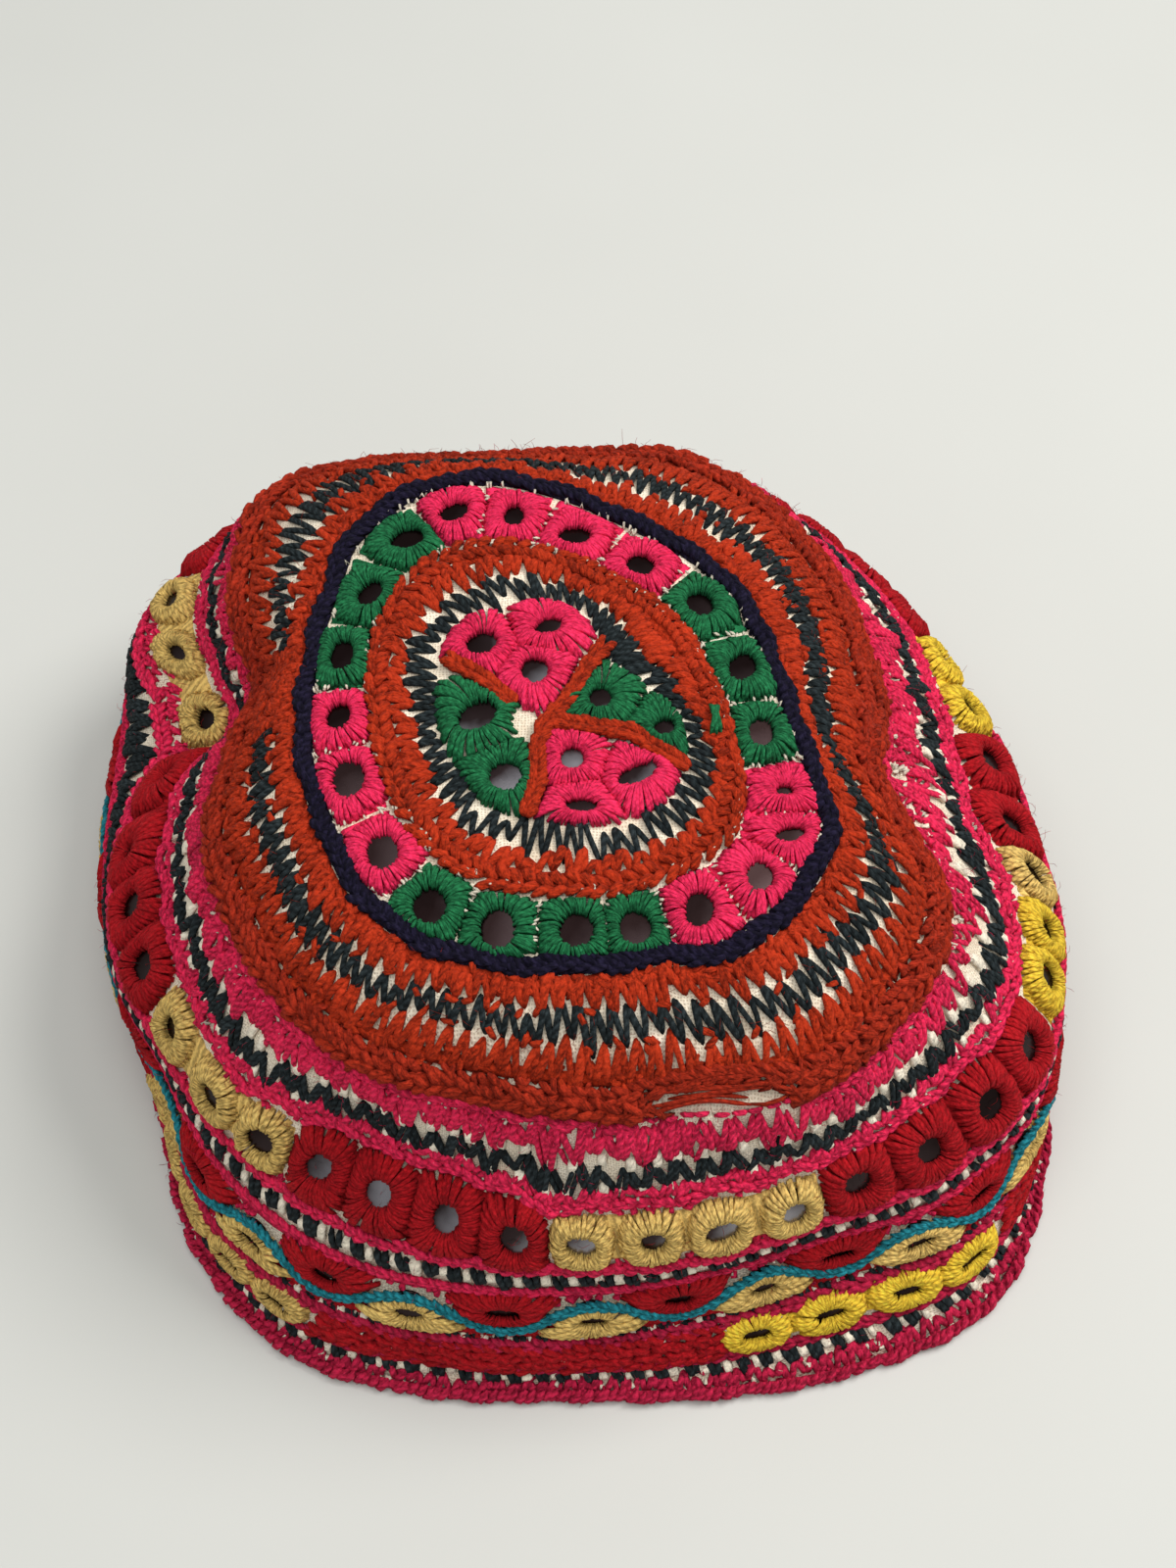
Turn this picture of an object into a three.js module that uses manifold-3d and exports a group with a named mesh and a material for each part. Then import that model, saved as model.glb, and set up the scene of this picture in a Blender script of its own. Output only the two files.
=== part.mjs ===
// A round embroidered cap with mirror work, resting on its rim.
// Millimetres, +Z up. The rim lies on z = 0 and the middle of the footprint is the origin.
// The cap is soft cloth that has lost its round: the crown panel and the side band
// follow the measured sections below, which run round one upright axis.
import * as THREE from "three";
import { mergeVertices } from "three/addons/utils/BufferGeometryUtils.js";
import Module from "manifold-3d";

// ---- driving dimensions ----
const WALL = 2.0; // embroidered cloth
const GAP = 0.3; // clearance between neighbouring pieces
const AXIS_X = -0.15; // upright axis of the sections
const AXIS_Y = 3.595;
const APEX_Z = 79.3; // heights of the rings
const NAVY_Z = 75.6;
const SHOULDER_Z = 46;
const BULGE_Z = 33;
const WAIST_Z = 15;
const STEP_AZ = 6; // degrees between wall sections
const EDGE_DROP = 1.55; // how steeply the crown turns down at its edge

const BRAID_WIDTH = 4.6; // orange braid over the crown seam
const BRAID_HEIGHT = 2.6;

const MIRROR_THICK = 0.7;
const MIRROR_LIFT = 0.5;
const ROW_MIRROR_R = 3.4;
const LENS_MIRROR_R = 2.6;
const LOWER_MIRROR_R = 2.2;
const ROW_SIDES = 6;
const THREAD_HALF = 0.9; // half height of the run that joins a row's mirrors
const THREAD_THICK = 0.45;
const THREAD_LIFT = 0.95;
const ROW_LIFT = 0.85;

// Sections of the cap: radius of each ring from the axis, and the height of the crown edge.
const SECTIONS = {
  columns: ["az", "navy", "edge", "shoulder", "bulge", "waist", "rim", "edge_z"],
  rows: [
    [0, 36.0, 55.3, 69.4, 83.2, 84.0, 84.0, 62.5],
    [15, 34.8, 55.0, 69.4, 80.8, 81.5, 82.0, 62.5],
    [30, 35.6, 57.6, 71.2, 78.9, 79.6, 81.5, 63.0],
    [45, 36.8, 60.6, 73.4, 79.5, 79.6, 81.5, 63.5],
    [60, 37.4, 64.0, 75.4, 80.2, 80.0, 81.5, 64.0],
    [75, 39.2, 65.6, 76.2, 81.2, 81.0, 82.0, 64.0],
    [90, 43.8, 63.8, 76.6, 82.4, 81.5, 82.5, 63.5],
    [105, 49.0, 65.2, 77.2, 83.4, 82.5, 83.5, 63.0],
    [120, 51.6, 71.2, 81.0, 86.4, 84.0, 84.0, 63.0],
    [135, 51.0, 77.4, 86.4, 92.2, 87.6, 85.0, 63.5],
    [150, 46.8, 69.4, 79.8, 94.0, 91.0, 86.0, 63.0],
    [165, 44.2, 58.2, 65.6, 84.2, 88.6, 86.0, 62.0],
    [180, 43.6, 58.6, 71.0, 83.0, 85.6, 83.5, 62.5],
    [195, 44.1, 62.6, 72.2, 83.0, 84.2, 82.0, 63.0],
    [210, 44.9, 64.3, 74.0, 81.0, 83.2, 84.0, 63.0],
    [225, 47.6, 66.2, 75.6, 81.6, 88.4, 92.0, 63.0],
    [240, 49.0, 67.8, 72.6, 82.0, 90.2, 95.8, 63.0],
    [255, 48.4, 66.6, 72.2, 81.4, 87.8, 93.2, 63.0],
    [270, 47.8, 67.2, 74.8, 80.4, 85.4, 90.8, 63.0],
    [285, 47.8, 69.8, 76.4, 82.0, 85.6, 93.6, 63.0],
    [300, 51.4, 74.0, 78.8, 83.6, 88.0, 99.2, 63.0],
    [315, 50.2, 73.4, 81.4, 89.6, 95.6, 104.0, 63.0],
    [330, 47.6, 70.6, 83.6, 92.6, 95.0, 97.0, 63.0],
    [345, 40.2, 60.0, 78.4, 88.8, 88.5, 88.5, 62.5],
  ],
};

// Dents and folds. level 0..1 runs from the middle of the crown to its edge, 1..2 from the edge to the rim.
const FOLDS = {
  columns: ["az", "half_az", "level", "half_level", "out"],
  rows: [
    [168, 9, 1.1, 0.35, -2.4], // tuck on the left, where the edge nearly meets the mirrors
    [266, 7, 1.16, 0.14, -1.3], // dip in the front of the band
    [338, 9, 1.05, 0.25, 1.6], // corner that juts on the right
    [352, 8, 0.86, 0.16, -1.8], // crown pulled down behind that corner
    [290, 75, 1.62, 0.12, -1.2], // crease under the upper mirrors in front
    [200, 30, 1.66, 0.14, -1.0], // the same crease on the left
    [228, 16, 0.82, 0.2, 0.9], // soft swelling of the crown, front left
    [128, 16, 0.84, 0.2, 1.2], // raised corner at the back left
  ],
};

// Levels of the band's rings, as a share of the way from the crown edge to the rim.
const BAND_LEVELS = [0, 0.27, 0.48, 0.76, 1];

// Mirrors of the crown: place in the cap's frame before it is centred, and half sizes.
const CROWN_MIRRORS = {
  columns: ["name", "x", "y", "r"],
  rows: [
    ["r01", -22.8, 47.1, 3.6],
    ["r02", -12.7, 46.2, 3.5],
    ["r03", -2.3, 41.9, 3.6],
    ["r04", 8.6, 35.5, 3.5],
    ["r05", 18.5, 27.8, 3.5],
    ["r06", 25.1, 15.4, 3.8],
    ["r07", 27.7, 2.6, 3.5],
    ["r08", 31.2, -8.1, 2.6],
    ["r09", 31.8, -16.0, 3.2],
    ["r10", 26.7, -23.5, 3.4],
    ["r11", 17.1, -29.4, 3.8],
    ["r12", 7.2, -32.5, 3.7],
    ["r13", -1.8, -33.0, 3.7],
    ["r14", -13.9, -32.5, 4.1],
    ["r15", -24.4, -28.6, 3.9],
    ["r16", -32.1, -19.3, 3.8],
    ["r17", -38.0, -6.0, 3.9],
    ["r18", -40.3, 6.0, 3.5],
    ["r19", -40.3, 17.9, 3.6],
    ["r20", -36.2, 30.2, 3.7],
    ["r21", -30.6, 41.6, 3.6],
    ["c01", -17.4, 18.7, 3.4],
    ["c02", -6.6, 22.0, 3.0],
    ["c03", -8.6, 13.2, 3.3],
    ["c04", -17.7, 4.7, 3.8],
    ["c05", -13.0, -6.7, 3.5],
    ["c06", 1.9, 7.8, 2.9],
    ["c07", 12.1, 2.4, 2.8],
    ["c08", -2.5, -3.5, 3.0],
    ["c09", 7.9, -6.2, 3.7],
    ["c10", -1.2, -12.0, 3.0],
  ],
};
const PHOTO_AXIS_X = -3.0; // the axis in the frame of the table above
const PHOTO_AXIS_Y = 9.0;

// Rows of mirrors on the band: level, size, and the azimuths of the mirrors along the thread.
// The embroiderer spaced the front ones by eye; the hidden ones are spaced evenly.
const evenly = (from, to, count) => Array.from({ length: count }, (_, k) => from + ((to - from) * k) / (count - 1));
const ROWS = {
  columns: ["name", "level", "r", "azimuths"],
  rows: [
    [
      "upper_row_mirrors_a", 1.375, ROW_MIRROR_R,
      [185, 193.3, 201.7, 211.7, 221.7, 230.4, 238.3, 246.2, 255, 263.6, 271.1, 279.7, 287.6, 296.6, 304.3, 313.4, 321.8, 330, 338.8, 344.8, 351.5],
    ],
    ["upper_row_mirrors_b", 1.375, ROW_MIRROR_R, [358.9, 368.7, 377.2, 386.8, ...evenly(395.4, 499, 13), 507.6, 515, 524.7, 534.5]],
    [
      "lens_row_mirrors_a", 1.67, LENS_MIRROR_R,
      [...evenly(203.7, 232.5, 4), 242, 251.9, 262.8, 272.4, 282.8, 292.6, 301.4, 310.1, 318, 325.5, ...evenly(335.1, 364, 4)],
    ],
    ["lens_row_mirrors_b", 1.67, LENS_MIRROR_R, evenly(373.6, 554.1, 20)],
    ["lower_row_mirrors_left", 1.835, LOWER_MIRROR_R, [208.7, 215.8, 223, 230.1, 237.2]],
    ["lower_row_mirrors_right", 1.835, LOWER_MIRROR_R, [290.7, 298.9, 307.2, 314.7]],
  ],
};

// ---- reading the tables ----
const table = ({ columns, rows }) =>
  rows.map((row) => Object.fromEntries(row.map((v, i) => [columns[i], v])));
const sections = table(SECTIONS);
const folds = table(FOLDS);
const rad = THREE.MathUtils.degToRad;

// A ring's value between two sections: a closed Catmull-Rom curve round the axis.
function ring(name, az) {
  const n = sections.length;
  const u = ((((az % 360) + 360) % 360) / 360) * n;
  const i = Math.floor(u) % n;
  const t = u - Math.floor(u);
  const [a, b, c, d] = [-1, 0, 1, 2].map((k) => sections[(i + k + n) % n][name]);
  return (
    0.5 *
    (2 * b + (c - a) * t + (2 * a - 5 * b + 4 * c - d) * t * t + (3 * b - a - 3 * c + d) * t ** 3)
  );
}

const bump = (x) => (Math.abs(x) < 1 ? (1 - x * x) ** 2 : 0);

function foldOut(az, level) {
  let out = 0;
  for (const f of folds) {
    const turn = ((az - f.az + 540) % 360) - 180;
    out += f.out * bump(turn / f.half_az) * bump((level - f.level) / f.half_level);
  }
  return out;
}

function place(az, level, r, z) {
  const out = foldOut(az, level);
  const side = THREE.MathUtils.smoothstep(level, 0.6, 1.1);
  const a = rad(az);
  const rr = r + out * side;
  return new THREE.Vector3(
    AXIS_X + rr * Math.cos(a),
    AXIS_Y + rr * Math.sin(a),
    z + out * (1 - side),
  );
}

// Crown: a shallow dome out to the navy ring, then a steeper turn down to the edge.
function crownPoint(az, t) {
  const navy = ring("navy", az);
  const edge = ring("edge", az);
  const edgeZ = ring("edge_z", az);
  const tn = navy / edge;
  let z;
  if (t <= tn) z = APEX_Z - (APEX_Z - NAVY_Z) * (t / tn) ** 2;
  else {
    const w = (t - tn) / (1 - tn);
    const m0 = (-2 * (APEX_Z - NAVY_Z) * (1 - tn)) / tn;
    const m1 = (edgeZ - NAVY_Z) * EDGE_DROP;
    z =
      (2 * w ** 3 - 3 * w ** 2 + 1) * NAVY_Z +
      (w ** 3 - 2 * w ** 2 + w) * m0 +
      (3 * w ** 2 - 2 * w ** 3) * edgeZ +
      (w ** 3 - w ** 2) * m1;
  }
  return place(az, t, t * edge, z);
}

// Band: one smooth curve through its five rings, from the crown edge to the rim.
function bandPoint(az, v) {
  const names = ["edge", "shoulder", "bulge", "waist", "rim"];
  const R = names.map((n) => ring(n, az));
  const Z = [ring("edge_z", az), SHOULDER_Z, BULGE_Z, WAIST_Z, 0];
  const K = BAND_LEVELS;
  let i = 0;
  while (i < 3 && v > K[i + 1]) i++;
  const h = K[i + 1] - K[i];
  const t = (v - K[i]) / h;
  const along = (Y) => {
    const m1 = i === 0 ? (Y[1] - Y[0]) / h : (Y[i + 1] - Y[i - 1]) / (K[i + 1] - K[i - 1]);
    const m2 = i === 3 ? (Y[4] - Y[3]) / h : (Y[i + 2] - Y[i]) / (K[i + 2] - K[i]);
    return (
      (2 * t ** 3 - 3 * t ** 2 + 1) * Y[i] +
      (t ** 3 - 2 * t ** 2 + t) * h * m1 +
      (3 * t ** 2 - 2 * t ** 3) * Y[i + 1] +
      (t ** 3 - t ** 2) * h * m2
    );
  };
  return place(az, 1 + v, along(R), along(Z));
}

const surface = (az, level) => (level <= 1 ? crownPoint(az, level) : bandPoint(az, level - 1));

// Outward normal of the surface, by differences.
function normal(az, level) {
  const e = 0.004;
  const lo = level <= 1 ? Math.max(level - e, 0.01) : Math.max(level - e, 1);
  const hi = level <= 1 ? Math.min(level + e, 1) : Math.min(level + e, 2);
  const ta = surface(az + 0.5, level).sub(surface(az - 0.5, level));
  const tl = surface(az, hi).sub(surface(az, lo));
  return tl.cross(ta).normalize();
}

// ---- building closed meshes ----
function closedMesh(points, faces) {
  const g = new THREE.BufferGeometry();
  g.setAttribute("position", new THREE.Float32BufferAttribute(points.flatMap((p) => [p.x, p.y, p.z]), 3));
  g.setIndex(faces.flat());
  g.computeVertexNormals();
  return g;
}

// A wall between levels: outer skin, inner skin WALL inside it, and the strips at its ends.
function wall(levels, { apex = false, flatEnd = false } = {}) {
  const azs = [];
  for (let a = 0; a < 360; a += STEP_AZ) azs.push(a);
  const n = azs.length;
  const points = [];
  const skins = [0, 1].map((inner) =>
    levels.map((level, k) =>
      azs.map((az) => {
        const p = surface(az, level);
        if (inner) {
          const d = normal(az, level);
          if (flatEnd && k === levels.length - 1) d.z = 0;
          p.addScaledVector(d.normalize(), -WALL);
        }
        if (flatEnd && k === levels.length - 1) p.z = 0;
        points.push(p);
        return points.length - 1;
      }),
    ),
  );
  const faces = [];
  const quad = (a, b, c, d) => faces.push([a, b, c], [a, c, d]);
  for (let k = 0; k + 1 < levels.length; k++)
    for (let i = 0; i < n; i++) {
      const j = (i + 1) % n;
      quad(skins[0][k][i], skins[0][k + 1][i], skins[0][k + 1][j], skins[0][k][j]);
      quad(skins[1][k][j], skins[1][k + 1][j], skins[1][k + 1][i], skins[1][k][i]);
    }
  const last = levels.length - 1;
  for (let i = 0; i < n; i++) {
    const j = (i + 1) % n;
    quad(skins[0][last][i], skins[1][last][i], skins[1][last][j], skins[0][last][j]);
    if (!apex) quad(skins[1][0][i], skins[0][0][i], skins[0][0][j], skins[1][0][j]);
  }
  if (apex) {
    points.push(new THREE.Vector3(AXIS_X, AXIS_Y, APEX_Z));
    points.push(new THREE.Vector3(AXIS_X, AXIS_Y, APEX_Z - WALL));
    const [top, under] = [points.length - 2, points.length - 1];
    for (let i = 0; i < n; i++) {
      const j = (i + 1) % n;
      faces.push([top, skins[0][0][i], skins[0][0][j]]);
      faces.push([under, skins[1][0][j], skins[1][0][i]]);
    }
  }
  return closedMesh(points, faces);
}

// A flattened cord laid over the crown seam: a section swept round the edge.
function edgeBraid() {
  const azs = [];
  for (let a = 0; a < 360; a += STEP_AZ) azs.push(a);
  const sides = 6;
  const points = [];
  const rings = azs.map((az) => {
    const seam = surface(az, 1);
    const na = normal(az, 0.985);
    const nb = normal(az, 1.03);
    const up = na.clone().add(nb).normalize();
    const along = surface(az + 1, 1).sub(surface(az - 1, 1)).normalize();
    const across = new THREE.Vector3().crossVectors(up, along).normalize();
    const centre = seam.clone().addScaledVector(up, BRAID_HEIGHT / 2 + GAP + 0.55);
    return Array.from({ length: sides }, (_, k) => {
      const w = (k / sides) * 2 * Math.PI;
      points.push(
        centre
          .clone()
          .addScaledVector(across, (BRAID_WIDTH / 2) * Math.cos(w))
          .addScaledVector(up, (BRAID_HEIGHT / 2) * Math.sin(w)),
      );
      return points.length - 1;
    });
  });
  const faces = [];
  for (let i = 0; i < rings.length; i++) {
    const a = rings[i];
    const b = rings[(i + 1) % rings.length];
    for (let k = 0; k < sides; k++) {
      const l = (k + 1) % sides;
      faces.push([a[k], a[l], b[l]], [a[k], b[l], b[k]]);
    }
  }
  return closedMesh(points, faces);
}

// A small round mirror lying on the cloth.
function disc(az, level, r, lift = MIRROR_LIFT, sides = 8) {
  const n = normal(az, level);
  const g = new THREE.CylinderGeometry(r, r, MIRROR_THICK, sides);
  const q = new THREE.Quaternion().setFromUnitVectors(new THREE.Vector3(0, 1, 0), n);
  return g
    .applyQuaternion(q)
    .translate(...surface(az, level).addScaledVector(n, lift + MIRROR_THICK / 2).toArray());
}

// The crown's inverse: azimuth and level of a point given by x and y.
function crownPlace(x, y) {
  const dx = x - PHOTO_AXIS_X;
  const dy = y - PHOTO_AXIS_Y;
  const az = (THREE.MathUtils.radToDeg(Math.atan2(dy, dx)) + 360) % 360;
  return { az, level: Math.hypot(dx, dy) / ring("edge", az) };
}

const wasm = await Module();
wasm.setup();

function solid(geometry) {
  const g = new THREE.BufferGeometry();
  g.setAttribute("position", geometry.getAttribute("position").clone());
  g.setIndex(geometry.index.clone());
  const merged = mergeVertices(g, 1e-4);
  return new wasm.Manifold(
    new wasm.Mesh({
      numProp: 3,
      vertProperties: new Float32Array(merged.attributes.position.array),
      triVerts: new Uint32Array(merged.index.array),
    }),
  );
}

function fromSolid(s) {
  const m = s.getMesh();
  const g = new THREE.BufferGeometry();
  g.setAttribute("position", new THREE.Float32BufferAttribute(new Float32Array(m.vertProperties), 3));
  g.setIndex(new THREE.BufferAttribute(new Uint32Array(m.triVerts), 1));
  g.computeVertexNormals();
  return g;
}

// A row of mirrors joined along their thread: a thin run just off the band, with discs on it.
function mirrorRow({ level, r, azimuths }) {
  const points = [];
  const stations = azimuths.flatMap((az, k) => (k ? [(azimuths[k - 1] + az) / 2, az] : [az]));
  const rings = stations.map((az) => {
    const n = normal(az, level);
    const up = surface(az, level - 0.01).sub(surface(az, level + 0.01)).normalize();
    const base = surface(az, level).addScaledVector(n, THREAD_LIFT);
    return [
      [-THREAD_HALF, 0],
      [-THREAD_HALF, THREAD_THICK],
      [THREAD_HALF, THREAD_THICK],
      [THREAD_HALF, 0],
    ].map(([h, o]) => {
      points.push(base.clone().addScaledVector(up, h).addScaledVector(n, o));
      return points.length - 1;
    });
  });
  const faces = [];
  for (let i = 0; i + 1 < rings.length; i++)
    for (let k = 0; k < 4; k++) {
      const l = (k + 1) % 4;
      const [a, b] = [rings[i], rings[i + 1]];
      faces.push([a[k], b[l], a[l]], [a[k], b[k], b[l]]);
    }
  const [s, e] = [rings[0], rings[rings.length - 1]];
  faces.push([s[0], s[1], s[2]], [s[0], s[2], s[3]]);
  faces.push([e[0], e[2], e[1]], [e[0], e[3], e[2]]);
  let whole = solid(closedMesh(points, faces));
  for (const az of azimuths) whole = whole.add(solid(disc(az, level, r, ROW_LIFT, ROW_SIDES)));
  return fromSolid(whole);
}

// ---- assembling ----
const cap = new THREE.Group();
const looks = {
  cloth: { color: 0xe9d9ba, roughness: 0.95 },
  braid: { color: 0xb8330f, roughness: 0.9 },
  mirror: { color: 0x3a3034, roughness: 0.12, metalness: 0.6 },
};
function add(name, geometry, look) {
  const mesh = new THREE.Mesh(geometry, new THREE.MeshStandardMaterial(looks[look]));
  mesh.name = name;
  cap.add(mesh);
}

// The crown stops just short of the seam and the band starts just past it.
const SEAM_CROWN = 0.988;
const SEAM_BAND = 1.012;
add("crown_panel", wall([0.16, 0.34, 0.5, 0.64, 0.76, 0.85, 0.93, SEAM_CROWN], { apex: true }), "cloth");
add(
  "side_band",
  wall([SEAM_BAND, 1.09, 1.18, 1.27, 1.37, 1.48, 1.56, 1.63, 1.7, 1.78, 1.88, 2], { flatEnd: true }),
  "cloth",
);
add("crown_edge_braid", edgeBraid(), "braid");
for (const m of table(CROWN_MIRRORS)) {
  const { az, level } = crownPlace(m.x, m.y);
  add("mirror_" + m.name, disc(az, level, m.r), "mirror");
}
for (const row of table(ROWS)) add(row.name, mirrorRow(row), "mirror");

export default cap;
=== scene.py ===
import bpy
import math
import numpy as np
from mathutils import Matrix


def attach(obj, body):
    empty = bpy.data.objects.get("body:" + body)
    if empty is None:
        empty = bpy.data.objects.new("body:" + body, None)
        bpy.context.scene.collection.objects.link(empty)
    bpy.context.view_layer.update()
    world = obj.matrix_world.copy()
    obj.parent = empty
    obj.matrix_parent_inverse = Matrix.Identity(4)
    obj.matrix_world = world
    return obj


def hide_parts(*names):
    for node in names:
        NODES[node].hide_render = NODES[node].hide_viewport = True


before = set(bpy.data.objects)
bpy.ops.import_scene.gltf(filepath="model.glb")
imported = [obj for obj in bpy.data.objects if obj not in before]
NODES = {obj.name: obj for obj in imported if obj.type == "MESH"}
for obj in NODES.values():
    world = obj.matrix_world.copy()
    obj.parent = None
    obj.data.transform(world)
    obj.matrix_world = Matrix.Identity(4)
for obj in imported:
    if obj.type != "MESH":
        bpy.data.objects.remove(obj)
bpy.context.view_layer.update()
MM = 0.001
rng = np.random.default_rng(20)

# ------------------------------------------------------------------ the cap's shape, as in the CAD part
AXIS_X, AXIS_Y = -0.15, 3.595
PHOTO_X, PHOTO_Y = -3.0, 9.0
APEX_Z, NAVY_Z, SHOULDER_Z, BULGE_Z, WAIST_Z = 79.3, 75.6, 46.0, 33.0, 15.0
EDGE_DROP = 1.55
SECTION_COLUMNS = ["az", "navy", "edge", "shoulder", "bulge", "waist", "rim", "edge_z"]
SECTIONS = np.array([
    [0, 36.0, 55.3, 69.4, 83.2, 84.0, 84.0, 62.5],
    [15, 34.8, 55.0, 69.4, 80.8, 81.5, 82.0, 62.5],
    [30, 35.6, 57.6, 71.2, 78.9, 79.6, 81.5, 63.0],
    [45, 36.8, 60.6, 73.4, 79.5, 79.6, 81.5, 63.5],
    [60, 37.4, 64.0, 75.4, 80.2, 80.0, 81.5, 64.0],
    [75, 39.2, 65.6, 76.2, 81.2, 81.0, 82.0, 64.0],
    [90, 43.8, 63.8, 76.6, 82.4, 81.5, 82.5, 63.5],
    [105, 49.0, 65.2, 77.2, 83.4, 82.5, 83.5, 63.0],
    [120, 51.6, 71.2, 81.0, 86.4, 84.0, 84.0, 63.0],
    [135, 51.0, 77.4, 86.4, 92.2, 87.6, 85.0, 63.5],
    [150, 46.8, 69.4, 79.8, 94.0, 91.0, 86.0, 63.0],
    [165, 44.2, 58.2, 65.6, 84.2, 88.6, 86.0, 62.0],
    [180, 43.6, 58.6, 71.0, 83.0, 85.6, 83.5, 62.5],
    [195, 44.1, 62.6, 72.2, 83.0, 84.2, 82.0, 63.0],
    [210, 44.9, 64.3, 74.0, 81.0, 83.2, 84.0, 63.0],
    [225, 47.6, 66.2, 75.6, 81.6, 88.4, 92.0, 63.0],
    [240, 49.0, 67.8, 72.6, 82.0, 90.2, 95.8, 63.0],
    [255, 48.4, 66.6, 72.2, 81.4, 87.8, 93.2, 63.0],
    [270, 47.8, 67.2, 74.8, 80.4, 85.4, 90.8, 63.0],
    [285, 47.8, 69.8, 76.4, 82.0, 85.6, 93.6, 63.0],
    [300, 51.4, 74.0, 78.8, 83.6, 88.0, 99.2, 63.0],
    [315, 50.2, 73.4, 81.4, 89.6, 95.6, 104.0, 63.0],
    [330, 47.6, 70.6, 83.6, 92.6, 95.0, 97.0, 63.0],
    [345, 40.2, 60.0, 78.4, 88.8, 88.5, 88.5, 62.5],
])
# az, half_az, level, half_level, out
FOLDS = np.array([
    [168, 9, 1.1, 0.35, -2.4],
    [266, 7, 1.16, 0.14, -1.3],
    [338, 9, 1.05, 0.25, 1.6],
    [352, 8, 0.86, 0.16, -1.8],
    [290, 75, 1.62, 0.12, -1.2],
    [200, 30, 1.66, 0.14, -1.0],
    [228, 16, 0.82, 0.2, 0.9],
    [128, 16, 0.84, 0.2, 1.2],
])
BAND_LEVELS = np.array([0, 0.27, 0.48, 0.76, 1.0])

# Rings of embroidery inside the navy cord: radii from the axis, a row for every 15 degrees.
EMB_COLUMNS = ["black_in", "black_out", "orange_out"]
EMB = np.array([
    [15.2, 18.8, 24.7], [12.4, 16.4, 23.2], [10.6, 15.0, 23.3], [10.2, 15.2, 23.7],
    [11.2, 17.0, 24.4], [13.6, 18.8, 25.7], [17.4, 21.4, 28.5], [19.8, 24.8, 32.5],
    [21.0, 28.0, 36.0], [22.6, 28.8, 36.8], [23.0, 28.0, 35.4], [22.4, 27.6, 33.8],
    [21.4, 26.0, 32.7], [21.2, 25.4, 32.4], [22.0, 26.2, 33.2], [22.6, 27.8, 34.8],
    [23.4, 28.6, 36.0], [23.2, 28.8, 36.0], [23.2, 28.8, 36.0], [24.0, 29.6, 36.1],
    [24.8, 30.6, 36.3], [23.6, 29.2, 35.6], [21.0, 26.6, 31.6], [18.0, 22.2, 27.2],
])


def spline(values, az):
    """Closed Catmull-Rom curve round the axis through equally spaced sections."""
    n = len(values)
    u = (np.asarray(az, float) % 360.0) / 360.0 * n
    i = np.floor(u).astype(int) % n
    t = u - np.floor(u)
    a, b, c, d = values[(i - 1) % n], values[i], values[(i + 1) % n], values[(i + 2) % n]
    return 0.5 * (2 * b + (c - a) * t + (2 * a - 5 * b + 4 * c - d) * t * t + (3 * b - a - 3 * c + d) * t**3)


def ring(name, az):
    return spline(SECTIONS[:, SECTION_COLUMNS.index(name)], az)


def emb(name, az):
    return spline(EMB[:, EMB_COLUMNS.index(name)], az)


def bump01(x):
    return np.where(np.abs(x) < 1, (1 - np.clip(np.abs(x), 0, 1) ** 2) ** 2, 0.0)


def fold_out(az, level):
    out = 0.0
    for faz, half, lev, hl, amount in FOLDS:
        turn = (az - faz + 540.0) % 360.0 - 180.0
        out = out + amount * bump01(turn / half) * bump01((level - lev) / hl)
    return out


def smooth01(x):
    x = np.clip(x, 0, 1)
    return x * x * (3 - 2 * x)


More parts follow.
